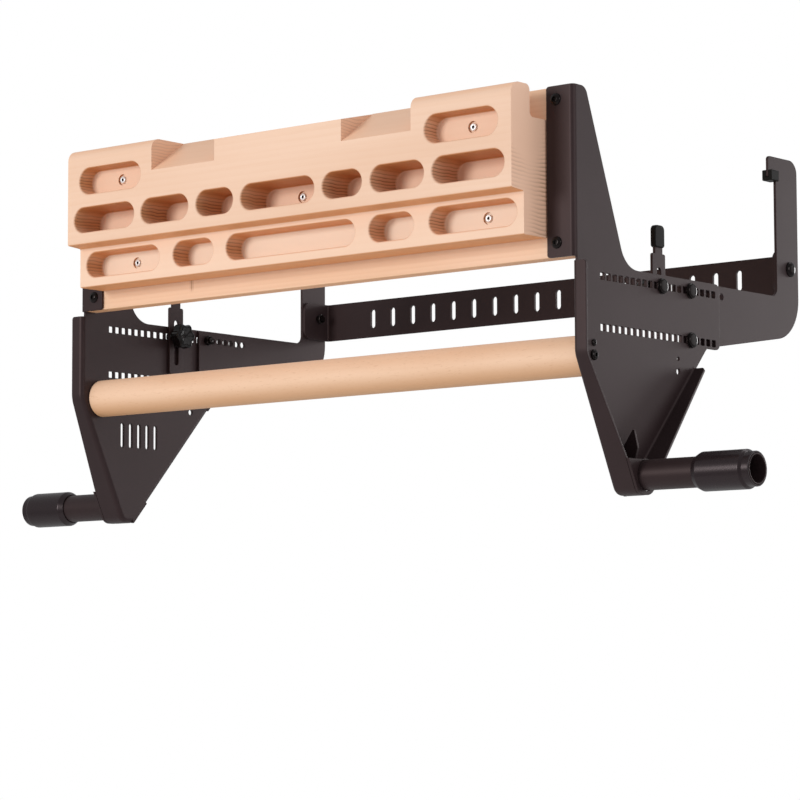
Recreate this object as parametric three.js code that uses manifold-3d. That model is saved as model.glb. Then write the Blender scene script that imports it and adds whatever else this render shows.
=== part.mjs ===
// A doorway hangboard: a wooden fingerboard block and a pull-up bar between two folded steel side plates.
// The plates carry handle tubes on their outer sides. A rear frame slides in their rows of square holes and
// ends in two padded hooks, and two clamped stops stand up behind the board to set the height.
// The group's origin is the point midway between the two hook pads, which the whole thing hangs from.
import * as THREE from "three";
import { mergeVertices } from "three/addons/utils/BufferGeometryUtils.js";
import Module from "manifold-3d";

const wasm = await Module();
wasm.setup();

// Sizes are in millimetres. x runs along the bar, y to the rear and z up, from the middle of the bar's axis.
const gap = 0.3; // between pieces that touch
const overrun = 6; // how far a cutting shape runs past the face it cuts
const facet = Math.PI / 7; // most that one chord of a small round turns
const holeSides = 8;
const screwSides = 12;
const headSides = 16;
const tubeSides = 32;
const closest = 0.001; // points nearer than this are one
const weld = 0.0001; // the same for the corners of a mesh
const domeSteps = 3;
const straightest = 1e-6; // sine of the least turn that counts as a corner

// Side plates, folded from sheet.
const innerHalf = 334; // from the middle of the bar to a plate's inner face
const sheet = 3;
const bend = 5; // outside radius of a fold
const lap = 4; // flat sheet beyond a fold, where the fold joins the plate
const plateFront = -30; // front face of the folds
const plateTop = 261.5;
const plateTopRear = -9.6; // where the top edge would meet the sloping rear edge
const plateTopRound = 10;
const neckRear = 54; // foot of the sloping rear edge
const neckRound = 29;
const wingTop = 89.2;
const wingRear = 216;
const wingRound = 6;
const wingBottom = 22;
const wingCorner = 193; // where the wing's bottom edge turns down to the tip
const kinkHeight = -1; // where the front edge turns back to the tip
const kinkRound = 24;
const tipFront = 34;
const tipRear = 52;
const tipBottom = -134.4;
const tipRound = 12;
const tipFoldEnd = 2; // length of tip edge left without a fold
const noseFold = 16; // outward fold, measured from the inner face
const tipFold = 27; // the same fold where it is widest
const flareEnd = -100; // height at which it has its full width
const noseFoldTop = 89;
const faceFold = 33; // inward fold that holds the board, measured from the outer face
const faceFoldBottom = 93.8;
const foldRound = 3; // round of a fold's free corner
const rearFoldTop = -2;
const rearFoldClear = 3; // height of the rear fold's lower end above the handle's axis

// Rows of square holes for carriage bolts.
const holePitch = 10;
const holeCount = 20;
const holeSide = 7;
const firstHole = 15;
const upperRow = 78;
const lowerRow = 28;
const armHole = 15; // number of the hole that the arms' bolts sit in, counted from the front
const stopHole = 10; // number of the hole that the stops' bolts sit in
const spareHoleY = 142;
const smallSpareZ = 7.7;
const smallSpareRadius = 2.1;
const largeSpareZ = -5.4;
const largeSpareRadius = 3.2;
const ventCount = 5; // plain slots in the left plate, below the bar
const ventPitch = 13;
const ventWidth = 5;
const ventTall = 27;
const ventY = 33;
const ventZ = -38;

// Pull-up bar and its screws.
const barRadius = 20;
const barChamfer = 1.5;
const barScrewRadius = 3;
const barScrewHead = 5.3;
const barScrewHeadTall = 3;
const barScrewLength = 40;
const pinHeight = 12; // of the small screw that stops the bar turning, above the axis
const pinRadius = 1.8;
const pinHead = 3.6;
const pinHeadTall = 1.6;
const pinLength = 20;

// Handles, their grips, tip plates and ribs.
const handleY = 47.5;
const handleZ = -115;
const tubeRadius = 15;
const tubeWall = 1.5;
const handleReach = 155; // from a plate's outer face to the end of its tube
const gripRadius = 19.2;
const gripStandoff = 89; // from a plate's outer face to its grip
const gripShort = 9.5; // from the end of the grip's full thickness to the tube's end
const gripCollar = 17; // radius of the thinner rubber beyond it
const gripLip = 0.6; // bare tube beyond that
const gripTaper = 6;
const gripTaperRise = 3; // how much the grip narrows at its inner end
const gripRound = 1.5;
const capTop = -100;
const capEar = 3; // how far the tip plate's lower end stands behind the plate's rear edge
const capEarRound = 15;
const ribRoot = -86; // where the rib's top edge meets the plate
const ribShoulder = -68;
const ribKnee = -88;
const ribShoulderOut = 13; // reach of the rib from the plate's outer face
const ribKneeOut = 17.5;
const ribFootOut = 13.6;

// Backing board.
const boardThick = 18;
const boardBottom = 94;
const boardTop = 261;
const boardPlay = 1; // at each end, to the plates
const boardEdge = 1; // chamfer

// Hangboard block.
const blockInset = 31.5; // from the plates' inner faces to the block's ends
const upperFront = -83.4;
const lowerFront = -64.3;
const blockBottom = 113.8;
const ledgeFront = 157.5;
const ledgeBack = 156;
const blockTop = 261;
const lipRound = 12;
const lipBack = -54;
const blockEdge = 2;
const channelFloor = 229.6;
const channelRound = 5;
const sloperFrontZ = 226.5;
const sloperSlope = 0.704;
const crownFrontZ = 249;
const crownSlope = 0.238;
const jugDepth = 20;
const jugRow = 225;
const jugTall = 28;
const middleDepth = 40;
const middleRow = 183.3;
const middleTall = 26.6;
const lowDepth = 24;
const lowRow = 137.3;
const lowTall = 26.7;
const pocketEntry = 2.5; // round of a pocket's rim
const pocketFloor = 5; // round at a pocket's floor

// Places along the block, from its centre, as shares of its half length.
const channelShare = 0.6281;
const sloperShares = [0.2876, 0.5868];
const jugShares = [[0.643, 0.9428]];
const middleShares = [[0.2033, 0.3736], [0.4132, 0.638], [0.6744, 0.9686]];
const lowShares = [[0.3537, 0.5421], [0.6109, 0.9686]];
const middleHalfShare = 0.1653; // the pocket at the centre of the middle row
const lowHalfShare = 0.2899; // the same in the lower row
const screwShare = 0.7934; // the outer four screws

// Screws of the block.
const jugScrewZ = 225.3;
const centreScrewZ = 184;
const lowScrewZ = 138;
const screwRadius = 1.6;
const screwHead = 4.1;
const screwHeadTall = 2.4;
const screwSink = 6; // radius of the sinking around a head
const screwSinkDeep = 2.6;
const screwTip = 4; // wood left behind a screw in the board

// Bolts, nuts and knobs.
const boltRadius = 3;
const boltHead = 8;
const boltHeadTall = 4;
const neckSide = 6.4; // square neck under a carriage bolt's head
const boltEnd = 2; // thread beyond a nut
const nutAcross = 10;
const nutTall = 5;
const faceBoltInset = 18; // from the plates' inner faces
const faceBoltHigh = 248;
const faceBoltLow = 108;
const faceBoltHead = 6;
const faceBoltHeadTall = 3.2;
const knobRadius = 13.4;
const knobLobe = 1.3;
const knobLobes = 6;
const knobTall = 12;
const knobHub = 7.5;
const knobHubTall = 3.4;
const knobBevel = 1.6;
const knobFloor = 3.5; // closed end of the knob over the bolt

// Height stops.
const strapWidth = 22;
const strapBottom = 36;
const strapShoulder = 111;
const strapShoulderRound = 5;
const strapNeck = 13;
const strapTop = 134;
const slotBottom = 46;
const slotTop = 97;
const slotWidth = 7;
const stopCapBottom = 117;
const stopCapTop = 139.5;
const stopCapWidth = 16.6;
const stopCapThick = 6.4;
const stopCapRound = 5;

// Rear frame.
const armFront = 152;
const armTop = 88.5;
const armFrontBottom = 16;
const armRearBottom = 50;
const armHeel = 45; // round of the arm's rear lower corner
const armRound = 9;
const armEdgeRound = 3;
const armSpareHoles = 6;
const armHoleRadius = 3.5;
const uprightFront = 328.8;
const uprightRear = 369.7;
const hookFront = 315;
const hookBottom = 214;
const hookTop = 236;
const hookRound = 4;
const hookHeel = 14;
const smallEdge = 1; // round of the hooks' and the rubber pieces' corners
const padTall = 4;
const padLip = 7;
const padThick = 12;
const padInset = 0.6; // from the upright's front edge
const braceRear = 374.4;
const braceBottom = 94.4;
const braceTop = 137.8;
const braceEndFront = 329.5;
const braceRound = 10;
const braceBoltY = 354.4;
const braceBoltZ = 119.4;
const braceSlots = 9; // on each side of the centre
const braceEndPitches = 1.9; // slot pitches left without a slot at each end
const braceSlotWidth = 7;
const braceSlotTall = 22;

const outerHalf = innerHalf + sheet;
const tubeEnd = outerHalf + handleReach;
const gripStart = outerHalf + gripStandoff;
const gripEnd = tubeEnd - gripShort;
const faceBoltOut = innerHalf - faceBoltInset;
const blockHalf = innerHalf - blockInset;
const alongBlock = (share) => share * blockHalf;
const armOuter = innerHalf - gap;
const armInner = armOuter - sheet;
const boardFront = plateFront + sheet + gap;
const boardBack = boardFront + boardThick;
const blockBack = boardFront - gap;
const screwOut = alongBlock(screwShare);
const armHoleY = firstHole + armHole * holePitch;
const stopY = firstHole + stopHole * holePitch;
const padBottom = hookBottom - gap - padTall;
const padRear = uprightFront - padInset;
const hangY = (hookFront + padRear) / 2;

const paint = (color, roughness, metalness) =>
  new THREE.MeshStandardMaterial({ color, roughness, metalness });
const wood = paint(0xf0cdac, 0.55, 0);
const boardWood = paint(0xeac29b, 0.6, 0);
const blackCoat = paint(0x2b2727, 0.45, 0.2);
const blackSteel = paint(0x1f1c1c, 0.4, 0.5);
const zinc = paint(0xc4c6c8, 0.3, 0.9);
const rubber = paint(0x181616, 0.8, 0);
const blackPlastic = paint(0x1c1a1a, 0.5, 0);

// A closed geometry as a solid with its faces out.
function solid(geometry) {
  const bare = geometry.clone();
  bare.deleteAttribute("normal");
  bare.deleteAttribute("uv");
  const merged = mergeVertices(bare, weld);
  const index = merged.index.array;
  const corners = [];
  for (let i = 0; i < index.length; i += 3) {
    const [a, b, c] = [index[i], index[i + 1], index[i + 2]];
    if (a !== b && b !== c && c !== a) corners.push(a, b, c);
  }
  const vertProperties = new Float32Array(merged.attributes.position.array);
  const build = (list) =>
    new wasm.Manifold(new wasm.Mesh({ numProp: 3, vertProperties, triVerts: new Uint32Array(list) }));
  const made = build(corners);
  return made.volume() > 0 ? made : build(corners.reverse());
}

// A solid as a geometry for a mesh.
function geometryOf(made) {
  const { vertProperties, triVerts } = made.getMesh();
  const geometry = new THREE.BufferGeometry();
  geometry.setAttribute("position", new THREE.BufferAttribute(new Float32Array(vertProperties), 3));
  geometry.setIndex(new THREE.BufferAttribute(new Uint32Array(triVerts), 1));
  geometry.computeVertexNormals();
  return geometry;
}

const joined = (first, ...rest) => rest.reduce((whole, part) => whole.add(part), first);
const cut = (first, ...rest) => rest.reduce((whole, part) => whole.subtract(part), first);

// Points of an outline whose corners are [a, b, radius]. A radius is held to what its two edges can take.
function rounded(corners, closed = true) {
  const points = [];
  const count = corners.length;
  corners.forEach(([a, b, wanted = 0], i) => {
    const here = new THREE.Vector2(a, b);
    const isEnd = !closed && (i === 0 || i === count - 1);
    if (wanted <= 0 || isEnd) {
      points.push(here);
      return;
    }
    const toBefore = new THREE.Vector2(...corners[(i + count - 1) % count].slice(0, 2)).sub(here);
    const toAfter = new THREE.Vector2(...corners[(i + 1) % count].slice(0, 2)).sub(here);
    const room = Math.min(toBefore.length(), toAfter.length()) / 2;
    toBefore.normalize();
    toAfter.normalize();
    const half = Math.acos(toBefore.dot(toAfter)) / 2;
    const radius = Math.min(wanted, room * Math.tan(half));
    const centre = toBefore.clone().add(toAfter).normalize();
    centre.multiplyScalar(radius / Math.sin(half)).add(here);
    const start = toBefore.clone().multiplyScalar(radius / Math.tan(half)).add(here).sub(centre);
    const end = toAfter.clone().multiplyScalar(radius / Math.tan(half)).add(here).sub(centre);
    const sweep = Math.atan2(start.cross(end), start.dot(end));
    const steps = Math.max(1, Math.ceil(Math.abs(sweep) / facet));
    for (let k = 0; k <= steps; k += 1) {
      points.push(start.clone().rotateAround(new THREE.Vector2(), (sweep * k) / steps).add(centre));
    }
  });
  return points;
}

// Points of a circle, of a slot with round ends, and of a square.
function circle(a, b, radius, sides = holeSides) {
  return Array.from({ length: sides }, (_, k) => {
    const turn = (2 * Math.PI * (k + 1 / 2)) / sides;
    return new THREE.Vector2(a + radius * Math.cos(turn), b + radius * Math.sin(turn));
  });
}

function slot(a, b, halfLong, halfTall, steps = 6) {
  const reach = halfLong - halfTall;
  return [1, -1].flatMap((side) =>
    Array.from({ length: steps + 1 }, (_, k) => {
      const turn = (Math.PI * k) / steps - (Math.PI / 2) * side;
      return new THREE.Vector2(a + side * reach + halfTall * Math.cos(turn), b + halfTall * Math.sin(turn));
    }),
  );
}

const turned90 = (points, a, b) =>
  points.map((p) => p.clone().rotateAround(new THREE.Vector2(a, b), Math.PI / 2));
const square = (a, b, side) =>
  [[-1, -1], [1, -1], [1, 1], [-1, 1]].map(
    ([p, q]) => new THREE.Vector2(a + (p * side) / 2, b + (q * side) / 2),
  );

// An outline without its repeated points and those that lie on a straight stretch.
function bends(points) {
  const kept = points.filter((p, i) => p.distanceTo(points[(i + 1) % points.length]) > closest);
  return kept.filter((p, i) => {
    const before = p.clone().sub(kept[(i + kept.length - 1) % kept.length]).normalize();
    const after = kept[(i + 1) % kept.length].clone().sub(p).normalize();
    return Math.abs(before.cross(after)) > straightest;
  });
}

const axisX = new THREE.Vector3(1, 0, 0);
const axisY = new THREE.Vector3(0, 1, 0);
const axisZ = new THREE.Vector3(0, 0, 1);

// Sheets and blocks: an outline carried along an axis from one place to another, with its holes cut through.
// The basis turns the outline's two directions and its depth to the part's axes.
function carried(basis, start) {
  const turn = new THREE.Matrix4().makeBasis(...basis);
  const prism = (points, from, to, bevel) => {
    const shape = new THREE.Shape(bends(points));
    const rims = { bevelEnabled: bevel > 0, bevelThickness: bevel, bevelSize: bevel, bevelOffset: -bevel };
    const depth = to - from - 2 * bevel;
    const geometry = new THREE.ExtrudeGeometry(shape, { depth, bevelSegments: 1, ...rims });
    return solid(geometry.translate(0, 0, bevel).applyMatrix4(turn).translate(...start(from, to)));
  };
  return (points, from, to, holes = [], bevel = 0) =>
    cut(prism(points, from, to, bevel), ...holes.map((hole) => prism(hole, from - overrun, to + overrun, 0)));
}

const alongX = carried([axisY, axisZ, axisX], (from) => [from, 0, 0]);
const alongY = carried([axisX, axisZ, axisY.clone().negate()], (_, to) => [0, to, 0]);
const alongZ = carried([axisX, axisY, axisZ], (from) => [0, 0, from]);

// A turned piece: a profile of [radius, place along the axis], about x or y.
function turnedOnY(profile, sides) {
  return new THREE.LatheGeometry(profile.map(([r, h]) => new THREE.Vector2(r, h)), sides);
}

const turnedOnX = (profile, sides) => turnedOnY(profile, sides).rotateZ(-Math.PI / 2);
const rod = (radius, from, to) => [[0, from], [radius, from], [radius, to], [0, to]];
const pipe = (inner, outer, from, to) =>
  [[inner, from], [outer, from], [outer, to], [inner, to], [inner, from]];
const rodX = (radius, from, to, y, z, sides = holeSides) =>
  solid(turnedOnX(rod(radius, from, to), sides).translate(0, y, z));
const rodY = (radius, from, to, x, z, sides = holeSides) =>
  solid(turnedOnY(rod(radius, from, to), sides).translate(x, 0, z));

// Rings of points joined to each other in turn and closed at both ends. Section gives the ends' outline.
function loft(rings, section) {
  const across = section.length;
  const triangles = [];
  rings.slice(1).forEach((_, i) => {
    for (let k = 0; k < across; k += 1) {
      const [a, b] = [i * across + k, i * across + ((k + 1) % across)];
      triangles.push(a, b, b + across, a, b + across, a + across);
    }
  });
  const last = (rings.length - 1) * across;
  THREE.ShapeUtils.triangulateShape(section, []).forEach(([a, b, c]) => {
    triangles.push(a, c, b, last + a, last + b, last + c);
  });
  const geometry = new THREE.BufferGeometry().setFromPoints(rings.flat());
  geometry.setIndex(triangles);
  return solid(geometry);
}

// Directions to the left of a path at each of its points, long enough to keep a strip's width round a corner.
function leftNormals(points) {
  const normals = points.slice(1).map((p, i) => {
    const along = p.clone().sub(points[i]).normalize();
    return new THREE.Vector2(-along.y, along.x);
  });
  return points.map((_, i) => {
    const before = normals[Math.max(i - 1, 0)];
    const after = normals[Math.min(i, normals.length - 1)];
    return before.clone().add(after).divideScalar(1 + before.dot(after));
  });
}

// An edge of the outline moved into the sheet, on its left, by a depth. Its rounds get that much smaller.
function inset(corners, depth) {
  const points = corners.map(([a, b]) => new THREE.Vector2(a, b));
  return leftNormals(points).map((normal, i) => {
    const moved = points[i].clone().addScaledVector(normal, depth);
    return [moved.x, moved.y, (corners[i][2] ?? 0) - depth];
  });
}

// A path with extra points at the given distances from its start.
function withStations(points, distances) {
  const result = [];
  let walked = 0;
  points.forEach((p, i) => {
    result.push(p);
    const next = points[i + 1];
    if (!next) return;
    const step = p.distanceTo(next);
    distances
      .filter((d) => d > walked + gap && d < walked + step - gap)
      .forEach((d) => result.push(p.clone().lerp(next, (d - walked) / step)));
    walked += step;
  });
  return result;
}

const pathLength = (points) => points.slice(1).reduce((sum, p, i) => sum + p.distanceTo(points[i]), 0);

// A folded edge: the sheet's end, its bend and the fold, carried along the edge's outside line in y and z.
// Face is the x that the fold turns away from, side is 1 for outward, and widthAt gives the fold's width.
function foldedEdge(corners, face, side, widthAt) {
  const bare = rounded(corners, false);
  const whole = pathLength(bare);
  const shares = [1, 2].map((k) => 1 - Math.cos((k * Math.PI) / 4));
  const early = shares.map((share) => share * foldRound);
  const points = withStations(bare, [...early, ...early.map((d) => whole - d).reverse()]);
  const inward = leftNormals(points);
  const bendSteps = 2;
  const arc = (radius, k) => {
    const turn = (Math.PI / 2) * (k / bendSteps);
    return new THREE.Vector2(bend - radius * Math.cos(turn), bend - radius * Math.sin(turn));
  };
  const steps = Array.from({ length: bendSteps + 1 }, (_, k) => k);
  const sectionOf = (width) => [
    new THREE.Vector2(0, bend + lap),
    ...steps.map((k) => arc(bend, k)),
    new THREE.Vector2(width, 0),
    new THREE.Vector2(width, sheet),
    ...steps.map((k) => arc(bend - sheet, bendSteps - k)),
    new THREE.Vector2(sheet, bend + lap),
  ];
  let walked = 0;
  const rings = points.map((p, i) => {
    if (i > 0) walked += p.distanceTo(points[i - 1]);
    const nearEnd = Math.max(Math.min(walked, whole - walked, foldRound), 0);
    const lost = foldRound - Math.sqrt(foldRound ** 2 - (foldRound - nearEnd) ** 2);
    return sectionOf(widthAt(p.y) - lost).map((q) => {
      const place = p.clone().addScaledVector(inward[i], q.y);
      return new THREE.Vector3(face + side * q.x, place.x, place.y);
    });
  });
  return loft(rings, sectionOf(widthAt(points[0].y)));
}

// Side plate, drawn for the right-hand side.
const slopeAt = (from, to) => (z) => from[0] + ((to[0] - from[0]) * (z - from[1])) / (to[1] - from[1]);
const frontAt = slopeAt([plateFront, kinkHeight], [tipFront, tipBottom]);
const rearAt = slopeAt([wingCorner, wingBottom], [tipRear, tipBottom]);
const flareShare = (z) => Math.min(Math.max((kinkHeight - z) / (kinkHeight - flareEnd), 0), 1);
const noseWidth = (z) => noseFold + (tipFold - noseFold) * flareShare(z);
const rearFoldBottom = handleZ + rearFoldClear;

function sidePlate(slots) {
  const noseEdge = [
    [plateFront, noseFoldTop],
    [plateFront, kinkHeight, kinkRound],
    [frontAt(flareEnd), flareEnd],
    [tipFront, tipBottom, tipRound],
    [tipRear - tipFoldEnd, tipBottom],
  ];
  const rearEdge = [
    [rearAt(rearFoldBottom), rearFoldBottom],
    [rearAt(flareEnd), flareEnd],
    [rearAt(rearFoldTop), rearFoldTop],
  ];
  const faceEdge = [
    [plateFront, plateTop],
    [plateFront, faceFoldBottom],
  ];
  const outline = [
    [plateFront + bend, plateTop],
    ...inset(noseEdge, bend),
    noseEdge.at(-1),
    [tipRear, tipBottom],
    rearEdge[0],
    ...inset(rearEdge, bend),
    rearEdge.at(-1),
    [wingCorner, wingBottom, wingRound],
    [wingRear, wingBottom, wingRound],
    [wingRear, wingTop, wingRound],
    [neckRear, wingTop, neckRound],
    [plateTopRear, plateTop, plateTopRound],
  ];
  const holes = [];
  for (let k = 0; k < holeCount; k += 1) {
    holes.push(square(firstHole + k * holePitch, upperRow, holeSide));
    holes.push(square(firstHole + k * holePitch, lowerRow, holeSide));
  }
  holes.push(circle(spareHoleY, smallSpareZ, smallSpareRadius));
  holes.push(circle(spareHoleY, largeSpareZ, largeSpareRadius));
  holes.push(circle(0, 0, barScrewRadius + gap));
  holes.push(circle(0, pinHeight, pinRadius + gap));
  const flat = alongX(rounded(outline), innerHalf, outerHalf, [...holes, ...slots]);
  const boltHoles = [faceBoltHigh, faceBoltLow].map((z) =>
    rodY(boltRadius + gap, plateFront - overrun, plateFront + overrun, faceBoltOut, z),
  );
  const faceStrip = foldedEdge(faceEdge, outerHalf, -1, () => faceFold);
  const noseStrip = foldedEdge(noseEdge, innerHalf, 1, noseWidth);
  const rearStrip = foldedEdge(rearEdge, innerHalf, 1, noseWidth);
  return cut(joined(flat, faceStrip, noseStrip, rearStrip), ...boltHoles);
}

const vents = Array.from({ length: ventCount }, (_, k) => {
  const y = ventY + k * ventPitch;
  return turned90(slot(y, ventZ, ventTall / 2, ventWidth / 2, 4), y, ventZ);
});

// Tip plate over the ends of the folds, and the rib that stands on the tube.
const capInner = innerHalf + tipFold + gap;

function tipCap() {
  const outline = [
    [frontAt(capTop), capTop],
    [tipFront, tipBottom, tipRound],
    [tipRear + capEar, tipBottom, capEarRound],
    [rearAt(capTop), capTop],
  ];
  const bore = circle(handleY, handleZ, tubeRadius + gap, tubeSides);
  return alongX(rounded(outline), capInner, capInner + sheet, [bore]);
}

function rib() {
  const foot = handleZ + tubeRadius + gap;
  const root = outerHalf + gap;
  const outline = [
    [root, ribRoot],
    [root, foot],
    [outerHalf + ribFootOut, foot],
    [outerHalf + ribKneeOut, ribKnee],
    [outerHalf + ribShoulderOut, ribShoulder, armEdgeRound],
  ];
  return alongY(rounded(outline), handleY - sheet / 2, handleY + sheet / 2);
}

function handleTube() {
  const profile = pipe(tubeRadius - tubeWall, tubeRadius, outerHalf + gap, tubeEnd);
  return solid(turnedOnX(profile, tubeSides).translate(0, handleY, handleZ));
}

function gripSleeve() {
  const bore = tubeRadius + gap;
  const profile = [
    [bore, gripStart],
    [gripRadius - gripTaperRise, gripStart],
    [gripRadius, gripStart + gripTaper],
    [gripRadius, gripEnd - gripRound],
    [gripRadius - gripRound, gripEnd],
    [gripCollar, gripEnd],
    [gripCollar, tubeEnd - gripLip],
    [bore, tubeEnd - gripLip],
    [bore, gripStart],
  ];
  return solid(turnedOnX(profile, tubeSides).translate(0, handleY, handleZ));
}

// Pull-up bar with the bores for its screws.
function pullUpBar() {
  const half = innerHalf - gap;
  const profile = [
    [0, -half],
    [barRadius - barChamfer, -half],
    [barRadius, -half + barChamfer],
    [barRadius, half - barChamfer],
    [barRadius - barChamfer, half],
    [0, half],
  ];
  const bores = [-1, 1].flatMap((side) => {
    const [inner, outer] = [half - barScrewLength, half + overrun].map((x) => side * x);
    const pinInner = side * (half - pinLength - gap);
    return [
      rodX(barScrewRadius + gap, Math.min(inner, outer), Math.max(inner, outer), 0, 0),
      rodX(pinRadius + gap, Math.min(pinInner, outer), Math.max(pinInner, outer), 0, pinHeight),
    ];
  });
  return cut(solid(turnedOnX(profile, tubeSides)), ...bores);
}

// A domed head: its profile from the rim up to the axis.
function dome(radius, tall, from, direction) {
  return Array.from({ length: domeSteps + 1 }, (_, k) => {
    const turn = (Math.PI / 2) * (k / domeSteps);
    return [radius * Math.cos(turn), from + direction * tall * Math.sin(turn)];
  });
}

const barScrew = () => {
  const seat = outerHalf + gap;
  const profile = [
    [0, innerHalf - barScrewLength + gap],
    [barScrewRadius, innerHalf - barScrewLength + gap],
    [barScrewRadius, seat],
    ...dome(barScrewHead, barScrewHeadTall, seat, 1),
  ];
  return solid(turnedOnX(profile, screwSides));
};

const barPin = () => {
  const seat = outerHalf + gap;
  const profile = [
    [0, innerHalf - pinLength],
    [pinRadius, innerHalf - pinLength],
    [pinRadius, seat],
    ...dome(pinHead, pinHeadTall, seat, 1),
  ];
  return solid(turnedOnX(profile, holeSides).translate(0, 0, pinHeight));
};

// Places of the block's screws: x, z and the y of the pocket floor that each is sunk in.
const screwPlaces = [
  [-screwOut, jugScrewZ, upperFront + jugDepth],
  [screwOut, jugScrewZ, upperFront + jugDepth],
  [0, centreScrewZ, upperFront + middleDepth],
  [-screwOut, lowScrewZ, lowerFront + lowDepth],
  [screwOut, lowScrewZ, lowerFront + lowDepth],
];

// Backing board.
function backingBoard() {
  const half = innerHalf - boardPlay;
  const outline = [
    [-half, boardFront, boardEdge],
    [half, boardFront, boardEdge],
    [half, boardBack, boardEdge],
    [-half, boardBack, boardEdge],
  ];
  const bolts = [-1, 1].flatMap((side) =>
    [faceBoltHigh, faceBoltLow].map((z) =>
      rodY(boltRadius + gap, boardFront - overrun, boardBack + overrun, side * faceBoltOut, z),
    ),
  );
  const pilots = screwPlaces.map(([x, z]) =>
    rodY(screwRadius + gap, boardFront - overrun, boardBack - screwTip + gap, x, z),
  );
  return cut(alongZ(rounded(outline), boardBottom, boardTop), ...bolts, ...pilots);
}

// A pocket with round ends: rings of a slot outline that widen at the rim and close in at the floor.
function pocket(from, to, row, tall, front, depth) {
  const turns = [1, 1 / 2, 0].map((share) => (share * Math.PI) / 2);
  const rim = turns.map((t) => [front + pocketEntry * (1 - Math.sin(t)), pocketEntry * (1 - Math.cos(t))]);
  const floor = turns
    .slice()
    .reverse()
    .map((t) => [front + depth - pocketFloor * (1 - Math.sin(t)), -pocketFloor * (1 - Math.cos(t))]);
  const places = [[front - overrun, pocketEntry], ...rim, ...floor];
  const outline = (grow) => slot((from + to) / 2, row, (to - from) / 2 + grow, tall / 2 + grow);
  const rings = places.map(([y, grow]) => outline(grow).map((p) => new THREE.Vector3(p.x, y, p.y)));
  return loft(rings, outline(0));
}

// Hangboard block: one long profile, cut by two slopers, the crown, the channels behind the lips and
// the pockets.
function hangboardBlock() {
  const profile = [
    [upperFront, ledgeFront, blockEdge],
    [upperFront, blockTop, lipRound],
    [blockBack, blockTop, blockEdge],
    [blockBack, blockBottom, blockEdge],
    [lowerFront, blockBottom, blockEdge],
    [lowerFront, ledgeBack, blockEdge],
  ];
  const behind = blockBack + overrun;
  const before = upperFront - overrun;
  const above = blockTop + overrun;
  const wedge = (frontZ, slope, from, to) => {
    const heightAt = (y) => frontZ + slope * (y - upperFront);
    const outline = [
      [before, heightAt(before)],
      [behind, heightAt(behind)],
      [behind, heightAt(behind) + above],
      [before, heightAt(behind) + above],
    ];
    return alongX(rounded(outline), from, to);
  };
  const channel = [
    [lipBack - lipRound, blockTop],
    [lipBack, blockTop, lipRound],
    [lipBack, channelFloor, channelRound],
    [behind, channelFloor],
    [behind, above],
    [lipBack - lipRound, above],
  ];
  const outside = blockHalf + overrun;
  const [sloperStart, sloperEnd] = sloperShares.map(alongBlock);
  const middleHalf = alongBlock(middleHalfShare);
  const lowHalf = alongBlock(lowHalfShare);
  const cuts = [
    wedge(sloperFrontZ, sloperSlope, sloperStart, sloperEnd),
    wedge(sloperFrontZ, sloperSlope, -sloperEnd, -sloperStart),
    wedge(crownFrontZ, crownSlope, -sloperStart, sloperStart),
    alongX(rounded(channel), alongBlock(channelShare), outside),
    alongX(rounded(channel), -outside, -alongBlock(channelShare)),
    pocket(-middleHalf, middleHalf, middleRow, middleTall, upperFront, middleDepth),
    pocket(-lowHalf, lowHalf, lowRow, lowTall, lowerFront, lowDepth),
  ];
  const rows = [
    [jugShares, jugRow, jugTall, upperFront, jugDepth],
    [middleShares, middleRow, middleTall, upperFront, middleDepth],
    [lowShares, lowRow, lowTall, lowerFront, lowDepth],
  ];
  rows.forEach(([pockets, row, tall, front, depth]) => {
    pockets.forEach((shares) => {
      const [from, to] = shares.map(alongBlock);
      cuts.push(pocket(from, to, row, tall, front, depth));
      cuts.push(pocket(-to, -from, row, tall, front, depth));
    });
  });
  screwPlaces.forEach(([x, z, floorY]) => {
    cuts.push(rodY(screwSink, floorY - pocketFloor, floorY + screwSinkDeep, x, z, screwSides));
    cuts.push(rodY(screwRadius + gap, floorY, behind, x, z));
  });
  return cut(alongX(rounded(profile), -blockHalf, blockHalf), ...cuts);
}

function boardScrew(x, z, floorY) {
  const seat = floorY + screwSinkDeep - gap;
  const profile = [
    ...dome(screwHead, screwHeadTall, seat, -1).reverse(),
    [screwRadius, seat],
    [screwRadius, boardBack - screwTip],
    [0, boardBack - screwTip],
  ];
  return solid(turnedOnY(profile, screwSides).translate(x, 0, z));
}

// Carriage bolt along x: dome outside, square neck in the plate's hole, thread inwards to the given end.
function carriageBolt(y, z, threadEnd) {
  const seat = outerHalf + gap;
  const neckEnd = innerHalf;
  const headProfile = [[0, seat], ...dome(boltHead, boltHeadTall, seat, 1)];
  const head = solid(turnedOnX(headProfile, headSides).translate(0, y, z));
  const neck = alongX(square(y, z, neckSide), neckEnd, seat);
  const thread = rodX(boltRadius, threadEnd, seat, y, z);
  return joined(head, neck, thread);
}

// A plain domed bolt, with its head on the far side of seat from the thread's end.
function domedProfile(head, tall, seat, threadEnd) {
  const direction = Math.sign(seat - threadEnd);
  return [[0, threadEnd], [boltRadius, threadEnd], [boltRadius, seat], ...dome(head, tall, seat, direction)];
}

const hexagon = (a, b) => circle(a, b, nutAcross / 2 / Math.cos(Math.PI / 6), 6);
const nutX = (y, z, from) =>
  alongX(hexagon(y, z), from - nutTall, from, [circle(y, z, boltRadius + gap)]);
const nutY = (x, z, from) =>
  alongY(hexagon(x, z), from, from + nutTall, [circle(x, z, boltRadius + gap)]);

// Star knob: a lobed body on a round hub, with a blind bore for the bolt.
const knobSeat = armInner - gap;
const knobBodyEnd = knobSeat - knobHubTall;

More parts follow.
